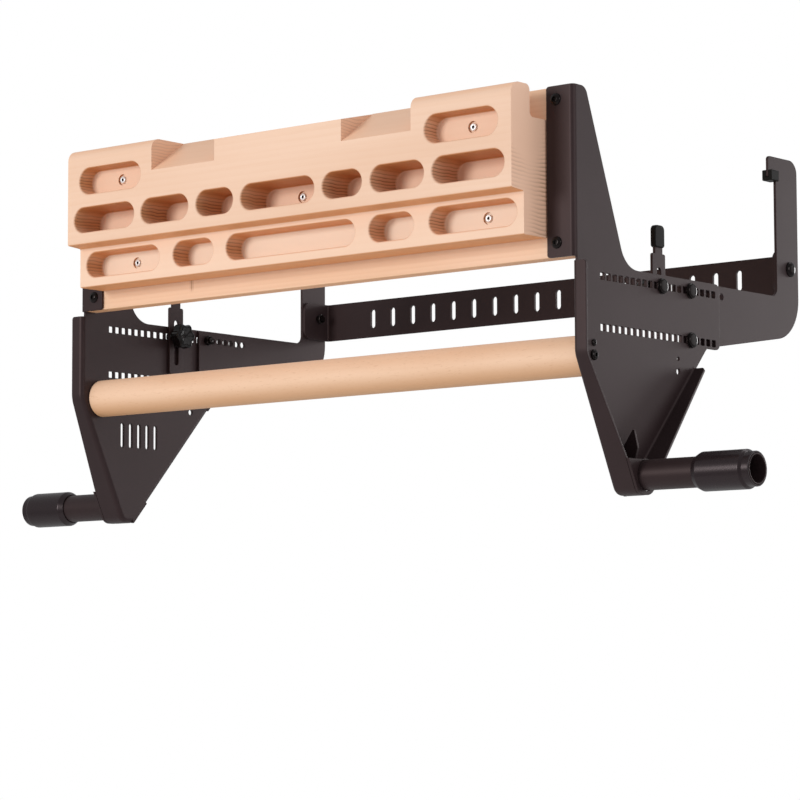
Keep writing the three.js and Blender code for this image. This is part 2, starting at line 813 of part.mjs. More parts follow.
function starKnob() {
  const sides = knobLobes * 4;
  const outline = Array.from({ length: sides }, (_, k) => {
    const turn = (2 * Math.PI * k) / sides;
    const radius = knobRadius + knobLobe * Math.cos(knobLobes * turn);
    return new THREE.Vector2(stopY + radius * Math.cos(turn), upperRow + radius * Math.sin(turn));
  });
  const body = alongX(outline, knobBodyEnd - knobTall, knobBodyEnd, [], knobBevel);
  const hub = rodX(knobHub, knobBodyEnd - knobBevel, knobSeat, stopY, upperRow, headSides);
  const boreFrom = knobBodyEnd - knobTall + knobFloor;
  const bore = rodX(boltRadius + gap, boreFrom, knobSeat + overrun, stopY, upperRow);
  return cut(joined(body, hub), bore);
}

// Height stop: a slotted strap with a neck that the rubber cap is pushed on.
function stopStrap() {
  const half = strapWidth / 2;
  const neck = strapNeck / 2;
  const outline = [
    [stopY - half, strapBottom, armEdgeRound],
    [stopY + half, strapBottom, armEdgeRound],
    [stopY + half, strapShoulder, strapShoulderRound],
    [stopY + neck, strapShoulder],
    [stopY + neck, strapTop, armEdgeRound],
    [stopY - neck, strapTop, armEdgeRound],
    [stopY - neck, strapShoulder],
    [stopY - half, strapShoulder, strapShoulderRound],
  ];
  const middle = (slotBottom + slotTop) / 2;
  const upright = turned90(slot(stopY, middle, (slotTop - slotBottom) / 2, slotWidth / 2), stopY, middle);
  return alongX(rounded(outline), armInner, armOuter, [upright]);
}

function stopCap() {
  const half = stopCapWidth / 2;
  const outline = [
    [stopY - half, stopCapBottom, armEdgeRound],
    [stopY + half, stopCapBottom, armEdgeRound],
    [stopY + half, stopCapTop, stopCapRound],
    [stopY - half, stopCapTop, stopCapRound],
  ];
  const centre = (armInner + armOuter) / 2;
  const body = alongX(rounded(outline), centre - stopCapThick / 2, centre + stopCapThick / 2, [], smallEdge);
  const neck = strapNeck / 2 + gap;
  const recess = [
    [stopY - neck, stopCapBottom - overrun],
    [stopY + neck, stopCapBottom - overrun],
    [stopY + neck, strapTop + gap],
    [stopY - neck, strapTop + gap],
  ];
  return cut(body, alongX(rounded(recess), armInner - gap, armOuter + gap));
}

// Rear arm: a bar along the hole rows, an upright at its rear end and a hook that turns forward at the top.
function rearArm() {
  const outline = [
    [armFront, armTop, armEdgeRound],
    [armFront, armFrontBottom, armEdgeRound],
    [uprightRear, armRearBottom, armHeel],
    [uprightRear, hookTop, hookHeel],
    [hookFront, hookTop, hookRound],
    [hookFront, hookBottom, smallEdge],
    [uprightFront, hookBottom, smallEdge],
    [uprightFront, armTop, armRound],
  ];
  const holes = [circle(armHoleY, lowerRow, armHoleRadius)];
  for (let k = 0; k <= armSpareHoles; k += 1) {
    holes.push(circle(armHoleY + k * holePitch, upperRow, armHoleRadius));
  }
  holes.push(circle(braceBoltY, braceBoltZ, armHoleRadius));
  return alongX(rounded(outline), armInner, armOuter, holes);
}

// Rubber channel under the hook, with a lip on each side of the sheet.
function hookPad() {
  const centre = (armInner + armOuter) / 2;
  const half = padThick / 2;
  const outline = [
    [centre - half, padBottom, smallEdge],
    [centre + half, padBottom, smallEdge],
    [centre + half, hookBottom + padLip, smallEdge],
    [armOuter + gap, hookBottom + padLip],
    [armOuter + gap, hookBottom - gap],
    [armInner - gap, hookBottom - gap],
    [armInner - gap, hookBottom + padLip],
    [centre - half, hookBottom + padLip, smallEdge],
  ];
  return alongY(rounded(outline), hookFront, padRear);
}

// Cross brace: a web with a plain row of slots, folded forward at both ends.
const braceHalf = armInner - gap;
const braceSlotPitch = braceHalf / (braceSlots + braceEndPitches);

function rearBrace() {
  const plan = [
    [-braceHalf, braceEndFront],
    [-braceHalf, braceRear, bend],
    [braceHalf, braceRear, bend],
    [braceHalf, braceEndFront],
    [braceHalf - sheet, braceEndFront],
    [braceHalf - sheet, braceRear - sheet, bend - sheet],
    [sheet - braceHalf, braceRear - sheet, bend - sheet],
    [sheet - braceHalf, braceEndFront],
  ];
  const reach = braceHalf + overrun;
  const side = [
    [braceEndFront, braceBottom, braceRound],
    [braceRear, braceBottom],
    [braceRear, braceTop],
    [braceEndFront, braceTop, braceRound],
  ];
  const folded = alongZ(rounded(plan), braceBottom, braceTop).intersect(alongX(rounded(side), -reach, reach));
  const row = (braceBottom + braceTop) / 2;
  const slots = [];
  for (let k = 0; k < braceSlots; k += 1) {
    const x = (k + 1 / 2) * braceSlotPitch;
    [-x, x].forEach((place) => {
      const upright = turned90(slot(place, row, braceSlotTall / 2, braceSlotWidth / 2, 3), place, row);
      slots.push(alongY(upright, braceRear - sheet - overrun, braceRear + overrun));
    });
  }
  const bolts = rodX(boltRadius + gap, -reach, reach, braceBoltY, braceBoltZ);
  return cut(folded, ...slots, bolts);
}

function braceBolt() {
  const seat = armOuter + gap;
  const end = braceHalf - sheet - gap - nutTall - boltEnd;
  const profile = domedProfile(boltHead, boltHeadTall, seat, end);
  return solid(turnedOnX(profile, headSides).translate(0, braceBoltY, braceBoltZ));
}

function faceBolt(z) {
  const end = boardBack + gap + nutTall + boltEnd;
  const profile = domedProfile(faceBoltHead, faceBoltHeadTall, plateFront - gap, end);
  return solid(turnedOnY(profile, screwSides).translate(faceBoltOut, 0, z));
}

// The assembly. Each side's group is drawn for the right, and the left one is its mirror image.
const group = new THREE.Group();
const rig = new THREE.Group();
rig.position.set(0, -hangY, -padBottom);
group.add(rig);

function place(parent, name, made, material) {
  const mesh = new THREE.Mesh(geometryOf(made), material);
  mesh.name = name;
  parent.add(mesh);
}

place(rig, "hangboard_block", hangboardBlock(), wood);
place(rig, "backing_board", backingBoard(), boardWood);
place(rig, "pull_up_bar", pullUpBar(), wood);
place(rig, "rear_brace", rearBrace(), blackCoat);
screwPlaces.forEach(([x, z, floorY], i) => {
  place(rig, `hangboard_screw_${i + 1}`, boardScrew(x, z, floorY), zinc);
});

[["right", 1], ["left", -1]].forEach(([hand, direction]) => {
  const half = new THREE.Group();
  half.scale.x = direction;
  rig.add(half);
  const nutEnd = armInner - gap - nutTall - boltEnd;
  const knobEnd = knobBodyEnd - knobTall + knobFloor + gap;
  place(half, `side_plate_${hand}`, sidePlate(direction < 0 ? vents : []), blackCoat);
  place(half, `tip_cap_${hand}`, tipCap(), blackCoat);
  place(half, `gusset_${hand}`, rib(), blackCoat);
  place(half, `handle_tube_${hand}`, handleTube(), blackCoat);
  place(half, `grip_sleeve_${hand}`, gripSleeve(), rubber);
  place(half, `bar_screw_${hand}`, barScrew(), blackSteel);
  place(half, `bar_pin_${hand}`, barPin(), blackSteel);
  place(half, `face_bolt_upper_${hand}`, faceBolt(faceBoltHigh), blackSteel);
  place(half, `face_bolt_lower_${hand}`, faceBolt(faceBoltLow), blackSteel);
  place(half, `face_nut_upper_${hand}`, nutY(faceBoltOut, faceBoltHigh, boardBack + gap), zinc);
  place(half, `face_nut_lower_${hand}`, nutY(faceBoltOut, faceBoltLow, boardBack + gap), zinc);
  place(half, `rear_arm_${hand}`, rearArm(), blackCoat);
  place(half, `hook_pad_${hand}`, hookPad(), rubber);
  place(half, `arm_bolt_upper_${hand}`, carriageBolt(armHoleY, upperRow, nutEnd), blackSteel);
  place(half, `arm_bolt_lower_${hand}`, carriageBolt(armHoleY, lowerRow, nutEnd), blackSteel);
  place(half, `arm_nut_upper_${hand}`, nutX(armHoleY, upperRow, armInner - gap), blackSteel);
  place(half, `arm_nut_lower_${hand}`, nutX(armHoleY, lowerRow, armInner - gap), blackSteel);
  place(half, `brace_bolt_${hand}`, braceBolt(), blackSteel);
  place(half, `brace_nut_${hand}`, nutX(braceBoltY, braceBoltZ, braceHalf - sheet - gap), blackSteel);
  place(half, `stop_strap_${hand}`, stopStrap(), blackCoat);
  place(half, `stop_cap_${hand}`, stopCap(), rubber);
  place(half, `stop_bolt_${hand}`, carriageBolt(stopY, upperRow, knobEnd), blackSteel);
  place(half, `stop_knob_${hand}`, starKnob(), blackPlastic);
});

export default group;
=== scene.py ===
import bmesh
import bpy
import numpy as np
from mathutils import Matrix, Vector
from mathutils.geometry import tessellate_polygon


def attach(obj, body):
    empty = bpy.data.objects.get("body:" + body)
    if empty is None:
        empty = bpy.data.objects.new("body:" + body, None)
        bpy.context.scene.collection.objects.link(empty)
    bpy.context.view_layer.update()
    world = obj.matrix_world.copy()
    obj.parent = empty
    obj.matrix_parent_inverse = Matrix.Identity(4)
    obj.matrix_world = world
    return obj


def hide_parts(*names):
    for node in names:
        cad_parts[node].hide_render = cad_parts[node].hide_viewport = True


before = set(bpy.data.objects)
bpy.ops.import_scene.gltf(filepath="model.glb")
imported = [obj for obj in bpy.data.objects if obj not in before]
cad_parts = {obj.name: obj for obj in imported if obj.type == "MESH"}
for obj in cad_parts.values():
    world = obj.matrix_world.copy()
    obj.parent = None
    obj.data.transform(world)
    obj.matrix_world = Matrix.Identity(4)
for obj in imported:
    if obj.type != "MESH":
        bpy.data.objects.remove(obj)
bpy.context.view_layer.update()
world_scene = bpy.context.scene


# The camera stands in front of the block on the right, a little below the handles, and looks slightly up.
# Its place, turn and lens come from the sizes of the part and where its corners lie in the photograph.
eye = np.array([2.14338, -2.78012, -0.54153])
yaw, pitch, roll = np.radians([39.825, 5.416, -0.204])
focal_pixels, frame_pixels, sensor_width = 3176.1, 800, 36.0
forward = np.array([-np.sin(yaw) * np.cos(pitch), np.cos(yaw) * np.cos(pitch), np.sin(pitch)])
level = np.array([np.cos(yaw), np.sin(yaw), 0.0])
upright = np.cross(level, forward)
view_right = np.cos(roll) * level + np.sin(roll) * upright
view_up = np.cos(roll) * upright - np.sin(roll) * level
camera_turn = np.eye(4)
camera_turn[:3] = np.stack([view_right, view_up, -forward, eye], -1)
camera_data = bpy.data.cameras.new("front_right_view")
camera_data.sensor_width = sensor_width
camera_data.lens = sensor_width * focal_pixels / frame_pixels
camera = bpy.data.objects.new("front_right_view", camera_data)
camera.matrix_world = Matrix(camera_turn.tolist())
world_scene.collection.objects.link(camera)
world_scene.camera = camera


# The room is a pale floor two metres below the handles, under an even white sky and soft boxes of light: a key
# from the front left, a fill from the right, one from above and two behind that the steel and the bolts mirror.
world_scene.view_settings.view_transform = "Standard"
sky = bpy.data.worlds.new("white_room")
sky.use_nodes = True
sky_tree = sky.node_tree
sky_tree.nodes.clear()
which = sky_tree.nodes.new("ShaderNodeLightPath")
choice = sky_tree.nodes.new("ShaderNodeMixShader")
sky_out = sky_tree.nodes.new("ShaderNodeOutputWorld")
sky_tree.links.new(which.outputs["Is Camera Ray"], choice.inputs[0])
cast, seen = ((0.97, 0.985, 1.0, 1.0), 0.5), ((1.0, 1.0, 1.0, 1.0), 1.0)  # the light it casts, and its look
for number, (colour, strength) in enumerate((cast, seen), 1):
    background = sky_tree.nodes.new("ShaderNodeBackground")
    background.inputs["Color"].default_value = colour
    background.inputs["Strength"].default_value = strength
    sky_tree.links.new(background.outputs[0], choice.inputs[number])
sky_tree.links.new(choice.outputs[0], sky_out.inputs["Surface"])
world_scene.world = sky


def soft_box(name, place, target, size, power, tint=(1.0, 1.0, 1.0)):
    """A square area light of that size in metres that faces the target."""
    lamp = bpy.data.lights.new(name, "AREA")
    lamp.size = size
    lamp.energy = power
    lamp.color = tint
    back = np.array(place, float) - np.array(target, float)
    back /= np.linalg.norm(back)
    side = np.cross([0.0, 0.0, 1.0], back)
    side /= np.linalg.norm(side)
    turn = np.eye(4)
    turn[:3] = np.stack([side, np.cross(back, side), back, place], -1)
    light = bpy.data.objects.new(name, lamp)
    light.matrix_world = Matrix(turn.tolist())
    light.visible_camera = False
    world_scene.collection.objects.link(light)


rig_middle = (0.0, -0.25, -0.1)
soft_box("key_front_left", (-1.0, -3.8, 0.35), rig_middle, 1.2, 62.0, (1.0, 0.985, 0.96))
soft_box("wide_back_right", (2.5, 1.9, 0.35), rig_middle, 2.0, 10.0)
soft_box("rim_behind", (0.8, 3.1, 0.2), rig_middle, 0.9, 25.0)
soft_box("fill_right", (3.3, -0.7, 0.5), rig_middle, 1.2, 20.0)
soft_box("top_back", (0.3, 1.2, 2.4), rig_middle, 1.4, 14.0)

floor_half, floor_height = 14.0, -2.05
floor_mesh = bpy.data.meshes.new("pale_floor")
square = ((-1, -1), (1, -1), (1, 1), (-1, 1))
floor_corners = [(a * floor_half, b * floor_half, floor_height) for a, b in square]
floor_mesh.from_pydata(floor_corners, [], [(0, 1, 2, 3)])
floor = bpy.data.objects.new("pale_floor", floor_mesh)
floor_finish = bpy.data.materials.new("pale_floor")
floor_finish.use_nodes = True
floor_shader = floor_finish.node_tree.nodes["Principled BSDF"]
floor_shader.inputs["Base Color"].default_value = (0.86, 0.86, 0.86, 1.0)
floor_shader.inputs["Roughness"].default_value = 0.8
floor_mesh.materials.append(floor_finish)
world_scene.collection.objects.link(floor)


# The hangboard block is glued and milled from pale wood and oiled: the grain runs along its length, so
# the pockets' ends, the slopers' walls and the block's ends show end grain with its growth rings.
class Wire:
    """An output socket. Python sums and products of wires and numbers add Math nodes."""

    def __init__(self, tree, socket):
        self.tree, self.socket = tree, socket

    def node(self, kind, settings=None, values=None, output=0):
        """A new node with its settings, then the values or wires of its sockets."""
        made = self.tree.nodes.new("ShaderNode" + kind)
        for key, value in (settings or {}).items():
            if key == "stops":
                ramp = made.color_ramp
                while len(ramp.elements) < len(value):
                    ramp.elements.new(0.5)
                for element, (position, colour) in zip(ramp.elements, value):
                    element.position, element.color = position, (*colour, 1.0)
            else:
                setattr(made, key, value)
        for key, value in (values or {}).items():
            if isinstance(value, Wire):
                self.tree.links.new(value.socket, made.inputs[key])
            else:
                made.inputs[key].default_value = value
        return Wire(self.tree, made.outputs[output])

    def maths(self, operation, *values, clamp=False):
        """A Math node on values or wires, held between zero and one if it clamps."""
        return self.node("Math", {"operation": operation, "use_clamp": clamp}, dict(enumerate(values)))

    def __add__(self, other):
        return self.maths("ADD", self, other)

    def __sub__(self, other):
        return self.maths("SUBTRACT", self, other)

    def __rsub__(self, other):
        return self.maths("SUBTRACT", other, self)

    def __mul__(self, other):
        return self.maths("MULTIPLY", self, other)

    def __truediv__(self, other):
        return self.maths("DIVIDE", self, other)

    def __pow__(self, other):
        return self.maths("POWER", self, other)

    def __abs__(self):
        return self.maths("ABSOLUTE", self)

    __radd__, __rmul__ = __add__, __mul__

    def held(self):
        """The value held between zero and one."""
        return self.maths("ADD", self, 0.0, clamp=True)

    def step(self, low, high):
        """Rises smoothly from zero at low to one at high."""
        spread = {"interpolation_type": "SMOOTHSTEP"}
        return self.node("MapRange", spread, {"Value": self, "From Min": low, "From Max": high})

    def split(self):
        """The three parts of a vector."""
        parts = self.tree.nodes.new("ShaderNodeSeparateXYZ")
        self.tree.links.new(self.socket, parts.inputs[0])
        return [Wire(self.tree, parts.outputs[i]) for i in range(3)]

    def scaled(self, factors):
        """A place stretched by three factors."""
        return self.node("Mapping", {}, {"Vector": self, "Scale": factors})

    def noise(self, scale, detail=2.0, roughness=0.5):
        """Smooth noise at a place, with so many swells in a metre."""
        values = {"Vector": self, "Scale": scale, "Detail": detail, "Roughness": roughness}
        return self.node("TexNoise", {}, values)

    def ramp(self, *stops):
        """A colour for the value, from stops of (value, colour)."""
        return self.node("ValToRGB", {"stops": stops}, {0: self})

    def tint(self, other, share):
        """This colour mixed with another by a share."""
        mixed = self.tree.nodes.new("ShaderNodeMix")
        mixed.data_type = "RGBA"
        for socket, value in zip((mixed.inputs[0], mixed.inputs[6], mixed.inputs[7]), (share, self, other)):
            if isinstance(value, Wire):
                self.tree.links.new(value.socket, socket)
            else:
                socket.default_value = (*value, 1.0) if isinstance(value, tuple) else value
        return Wire(self.tree, mixed.outputs[2])


def finish(name):
    """A new material: it, its shader, the place on the piece and the direction that the surface faces."""
    material = bpy.data.materials.new(name)
    material.use_nodes = True
    tree = material.node_tree
    shader = tree.nodes["Principled BSDF"]
    coordinates = tree.nodes.new("ShaderNodeTexCoord")
    return material, shader, Wire(tree, coordinates.outputs["Object"]), Wire(tree, coordinates.outputs["Normal"])


def feed(shader, **sockets):
    """Links or sets the shader's sockets, named with underscores for spaces."""
    for name, value in sockets.items():
        socket = shader.inputs[name.replace("_", " ")]
        if isinstance(value, Wire):
            value.tree.links.new(value.socket, socket)
        else:
            socket.default_value = value


def bumped(height, distance, strength):
    """A normal for a surface raised by the height, which is worth so many metres at one."""
    return height.node("Bump", {}, {"Height": height, "Distance": distance, "Strength": strength}, "Normal")


def rings_of(place, core, pitch, waver):
    """Growth rings: the distance from the tree's core line, which runs along x and wavers a little, over the
    pitch. Its fraction rises through each ring and drops at its end."""
    _, y, z = place.split()
    sway = place.scaled((1.2, 13.0, 9.0)).noise(1.0, 3.0) * waver
    across = (y - core[0]) ** 2.0 + (z - core[1]) ** 2.0
    phase = (across ** 0.5 + sway) / pitch
    saw = phase.maths("FRACT", phase)
    return saw.step(0.25, 0.92) * (1.0 - saw.step(0.93, 1.0))


# Where the block's faces lie, in metres of the row frame, each from where a zone starts to where it is full.
floor_zone, low_floor_zone = (-0.392, -0.384), (-0.372, -0.366)  # y of the pockets' floors
ledge_zone, slope_zone = (-0.045, -0.044), (0.0160, 0.0175)  # z of the step between the rows and of the slopers
slope_end_zone, block_end_zone = (0.182, 0.186), (0.2985, 0.3005)  # distance from the middle


def block_wood():
    """Pale wood with fibres and wide rings lengthwise, and fine dark rings where the surface faces along x.
    Light and shade are painted into its colour: painted shade browns the faces that look down, deepest in the
    upper two rows, and tints the faces that look up more orange; painted light makes the pockets' floors paler;
    and the pockets' ends carry painted shade over their end grain, less of it towards the right."""
    material, shader, place, facing = finish("block_wood")
    nx, ny, nz = facing.split()
    end_grain = abs(nx) ** 2.0
    x, y, z = place.split()
    late = rings_of(place, (-0.40, 0.42), 0.0033, 0.017)
    wide = rings_of(place, (-0.46, 0.55), 0.0071, 0.022)
    fibres = place.scaled((5.0, 210.0, 210.0)).noise(1.0, 4.0, 0.65)
    cloud = place.scaled((3.0, 8.0, 22.0)).noise(1.0, 2.0)
    patch = place.scaled((30.0, 30.0, 30.0)).noise(1.0, 2.0)
    pale = cloud.ramp((0.3, (0.865, 0.570, 0.405)), (0.72, (0.925, 0.640, 0.475)))
    streaked = pale.tint((0.78, 0.43, 0.24), ((fibres - 0.5) * 0.45).held())
    lengthwise = streaked.tint((0.80, 0.47, 0.28), wide * patch * 0.22)
    # Painted shade: faces that look down are browned.
    below = (0.0 - nz).step(0.35, 0.95)
    ahead = (0.0 - ny).step(0.6, 0.95)
    # Painted light: the pockets' floors, which face forward deep in the block, are made paler.
    floors = y.step(*floor_zone) * ahead
    upper = z.step(*ledge_zone)
    low_floors = y.step(*low_floor_zone) * ahead * (1.0 - upper)
    # Painted shade: faces that look up are tinted more orange.
    upward = nz.step(0.3, 0.8)
    # Painted light on the pockets' floors, then painted shade on the faces that look up.
    lit = lengthwise.tint((0.99, 0.70, 0.52), floors * 0.55).tint((0.97, 0.55, 0.335), upward * 0.45)
    # More painted light on the lower row's floors.
    low_floors_lit = lit.tint((0.98, 0.83, 0.675), low_floors * 0.7)
    # Painted shade browns the faces that look down, more deeply in the upper two rows where they are the
    # pockets' roofs.
    shaded_below = low_floors_lit.tint((0.72, 0.29, 0.09), below * 0.85).tint((0.50, 0.175, 0.05), below * upper * 0.65)
    low_rear = (y * 14.0 - z * 4.0 + 5.1).step(0.0, 0.4)
    from_middle = abs(x)
    in_slope = z.step(*slope_zone) * (1.0 - from_middle.step(*slope_end_zone))
    # The slopers' walls and the block's ends take the paler end-grain colour, with little of the pockets'
    # painted shade.
    outer_share = (from_middle.step(*block_end_zone) + in_slope * 0.6).held()
    arcs = rings_of(place, (-0.37, 0.26), 0.0041, 0.014)
    patches = place.noise(19.0, 1.0).step(0.5, 0.66) * (1.0 - z.step(0.0, 0.02))
    sparse = (patches * 0.3 + low_rear * 0.4).held()
    outer = pale.tint((0.93, 0.57, 0.40), 0.7).tint((0.42, 0.20, 0.10), arcs * sparse)
    # Painted shade on the pockets' ends, lighter towards the right where more light falls.
    pocket_end_shade = 0.85 - x.step(-0.20, 0.32) * 0.35
    thin = (late ** 2.5) * (patch * 0.9 + 0.25)
    # The pockets' ends: end grain with its fine rings, under painted shade.
    pocket = pale.tint((0.56, 0.25, 0.09), pocket_end_shade).tint((0.16, 0.05, 0.016), thin.held())
    sawn = pocket.tint(outer, outer_share)
    feed(shader, Base_Color=shaded_below.tint(sawn, end_grain), Roughness=0.46 + fibres * 0.16, Specular_IOR_Level=0.4)
    feed(shader, Normal=bumped(fibres + late * 0.4, 0.0001, 0.5))
    return material


bar_axis = np.array([0.0, -321.6, -209.7])  # of the pull-up bar, in millimetres of the row frame


def curve(corners, closed=True, turn=9.0):
    """Points of an outline. A corner [a, b, radius] becomes an arc that touches both of its edges: its centre is
    on the bisector, the radius over the sine of half the angle away, and its chords turn by so many degrees."""
    places = np.array([corner[:2] for corner in corners], float)
    points = []
    around = zip(np.roll(places, 1, 0), places, np.roll(places, -1, 0), corners)
    for i, (before, here, after, corner) in enumerate(around):
        is_end = not closed and i in (0, len(corners) - 1)
        if len(corner) < 3 or corner[2] <= 0 or is_end:
            points.append(here[None])
            continue
        back, on = before - here, after - here
        room = min(np.linalg.norm(back), np.linalg.norm(on)) / 2
        back, on = back / np.linalg.norm(back), on / np.linalg.norm(on)
        half = np.arccos(back @ on) / 2
        radius = min(corner[2], room * np.tan(half))
        centre = here + (back + on) / np.linalg.norm(back + on) * radius / np.sin(half)
        start, end = (here + way * radius / np.tan(half) - centre for way in (back, on))
        sweep = np.arctan2(start[0] * end[1] - start[1] * end[0], start @ end)
        # A hair is taken off, so that rounding doesn't turn a whole number of chords into one more.
        chords = max(1, int(np.ceil(abs(sweep) / np.radians(turn) - 1e-6)))
        angle = np.linspace(0, sweep, chords + 1)
        arc = np.outer(np.cos(angle), start) + np.outer(np.sin(angle), [-start[1], start[0]])
        points.append(centre + arc)
    outline = np.concatenate(points)
    apart = np.linalg.norm(outline - np.roll(outline, -1, 0), axis=1) > 1e-3
    if not closed:
        apart[-1] = True
    return outline[apart]


def circle(a, b, radius, sides=24):
    """Points at even angles round a centre, half a step off the first axis."""
    angle = 2 * np.pi * (np.arange(sides) + 0.5) / sides
    return np.stack([a + radius * np.cos(angle), b + radius * np.sin(angle)], -1)


def slot(a, b, length, width, upright=False, steps=12):
    """A slot with round ends: two half circles about points the length less the width apart."""
    angle = np.linspace(-np.pi / 2, np.pi / 2, steps + 1)
    half = np.stack([np.cos(angle) * width / 2 + (length - width) / 2, np.sin(angle) * width / 2], -1)
    ring = np.concatenate([half, -half])
    return np.array([a, b]) + (ring[:, ::-1] * [-1, 1] if upright else ring)


def grid_faces(rows, columns, start=0):
    """Quads between the rows of a grid of points whose columns close into a ring."""
    row = np.arange(rows - 1)[:, None] * columns + start
    column, after = np.arange(columns), np.roll(np.arange(columns), -1)
    quads = np.stack([row + column, row + after, row + after + columns, row + column + columns], -1)
    return quads.reshape(-1, 4).tolist()


def slab(loops, low, high, way, rim=0.0, steps=3):
    """A sheet between two planes. Each loop, the outline first and then the holes, is carried up a profile: in
    by the rim at the low face, over a quarter round, up its side and over a quarter round to the high face."""
    basis = {"x": [[0, 1, 0], [0, 0, 1], [1, 0, 0]], "y": [[1, 0, 0], [0, 0, 1], [0, 1, 0]]}
    basis["z"] = [[1, 0, 0], [0, 1, 0], [0, 0, 1]]
    angle = np.linspace(0, np.pi / 2, steps + 1) if rim > 0 else np.array([np.pi / 2])
    inset, rise = rim * (1 - np.sin(angle)), rim * (1 - np.cos(angle))
    insets = np.concatenate([inset, inset[::-1]])
    heights = np.concatenate([low + rise, (high - rise)[::-1]]) if rim > 0 else np.array([low, high])
    points, faces, rims, ends = [], [], [], ([], [])
    start = 0
    for i, loop in enumerate(loops):
        after = np.roll(loop, -1, 0)
        area = np.sum(loop[:, 0] * after[:, 1] - after[:, 0] * loop[:, 1])
        if (area > 0) != (i == 0):
            loop = loop[::-1]
        edge = np.roll(loop, -1, 0) - loop
        normal = np.stack([edge[:, 1], -edge[:, 0]], -1) / np.linalg.norm(edge, axis=1)[:, None]
        earlier = np.roll(normal, 1, 0)
        outward = (normal + earlier) / (1 + np.sum(normal * earlier, 1))[:, None]
        flat = loop[None] - insets[:, None, None] * outward[None]
        tall = np.broadcast_to(heights[:, None, None], (*flat.shape[:2], 1))
        points.append(np.concatenate([flat, tall], -1).reshape(-1, 3))
        faces += grid_faces(len(insets), len(loop), start)
        rims.append([Vector((*p, 0.0)) for p in flat[0]])
        ends[0].append(start + np.arange(len(loop)))
        ends[1].append(start + (len(insets) - 1) * len(loop) + np.arange(len(loop)))
        start += len(insets) * len(loop)
    triangles = np.array(tessellate_polygon(rims))
    for end in ends:
        faces += np.concatenate(end)[triangles].tolist()
    return np.concatenate(points) @ np.array(basis[way], float), faces


def loft(rings):
    """A grid of rings of points, closed by a flat face at each end."""
    rings = np.asarray(rings, float)
    rows, columns = rings.shape[:2]
    ends = [list(range(columns)), list(range((rows - 1) * columns, rows * columns))]
    return rings.reshape(-1, 3), grid_faces(rows, columns) + ends


def shaped(name, *shells):
    """A mesh object in millimetres from shells of (points, faces), with its doubles merged and its faces out."""
    mesh = bpy.data.meshes.new(name)
    counts = np.cumsum([0] + [len(points) for points, _ in shells])
    faces = [[corner + int(first) for corner in face] for (_, own), first in zip(shells, counts) for face in own]
    mesh.from_pydata(np.concatenate([points for points, _ in shells]).tolist(), [], faces)
    shell = bmesh.new()
    shell.from_mesh(mesh)
    bmesh.ops.remove_doubles(shell, verts=shell.verts, dist=1e-4)
    bmesh.ops.recalc_face_normals(shell, faces=shell.faces)
    shell.to_mesh(mesh)
    shell.free()
    piece = bpy.data.objects.new(name, mesh)
    world_scene.collection.objects.link(piece)
    return piece


def worked(piece, kind, **settings):
    """The piece after one modifier, which is applied at once."""
    tool = piece.modifiers.new(kind.lower(), kind)
    for key, value in settings.items():
        setattr(tool, key, value)
    bpy.context.view_layer.update()
    result = bpy.data.meshes.new_from_object(piece.evaluated_get(bpy.context.evaluated_depsgraph_get()))
    piece.modifiers.clear()
    piece.data = result
    return piece


def combined(piece, operation, tools):
    """The piece cut by or joined with the tools, which are then taken away."""
    bench = bpy.data.collections.new("bench")
    for tool in tools:
        bench.objects.link(tool)
    worked(piece, "BOOLEAN", operand_type="COLLECTION", collection=bench, operation=operation, solver="EXACT")
    for tool in tools:
        bpy.data.objects.remove(tool)
    bpy.data.collections.remove(bench)
    return piece


def fitted(piece, material, stands_for, body, sharp=40.0):
    """The piece moved from millimetres at the bar's axis to the row frame, shaded, given its material, with the
    nodes it stands for hidden, and riding on its body."""
    mesh = piece.data
    points = np.empty(len(mesh.vertices) * 3, np.float32)
    mesh.vertices.foreach_get("co", points)
    mesh.vertices.foreach_set("co", ((points.reshape(-1, 3) + bar_axis) / 1000).astype(np.float32).ravel())
    mesh.polygons.foreach_set("use_smooth", np.ones(len(mesh.polygons), bool))
    mesh.set_sharp_from_angle(angle=np.radians(sharp))
    mesh.update()
    mesh.materials.clear()
    mesh.materials.append(material)
    weights = piece.modifiers.new("face_weights", "WEIGHTED_NORMAL")
    weights.keep_sharp = True
    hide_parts(*stands_for)
    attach(piece, body)
    return piece


block_half, block_front, lower_front, block_back = 302.5, -83.4, -64.3, -27.0
block_top, block_bottom, ledge_front, ledge_back = 261.0, 113.8, 157.5, 156.0
block_edge, lip_round, lip_back = 2.0, 12.0, -54.0
channel_from, channel_to, channel_floor, channel_rear, channel_round = 190.0, 310.0, 229.6, -21.0, 5.0
sloper_from, sloper_to, sloper_front, sloper_slope = 86.9, 177.5, 226.5, 0.704
crown_half, crown_front, crown_slope = 87.0, 249.0, 0.238
rim_round, floor_round = 2.2, 2.4  # of the pockets
centre_half, low_centre_half = 50.0, 87.7  # of the pockets at the centre of the middle and the lower row
middle_row, low_row = (183.3, 26.6, block_front, 40.0), (137.3, 26.7, lower_front, 24.0)
pocket_rows = [  # where the pockets of each row begin and end; then its height, their height, face and depth
    ([(194.5, 285.2)], (225.0, 28.0, block_front, 20.0)),
    ([(61.5, 113.0), (125.0, 193.0), (204.0, 293.0)], middle_row),
    ([(107.0, 164.0), (184.8, 293.0)], low_row),
]
overrun = 6.0  # how far a cutter runs past the face it cuts
above = 300.0  # how high the slopers' cutters reach above the slope


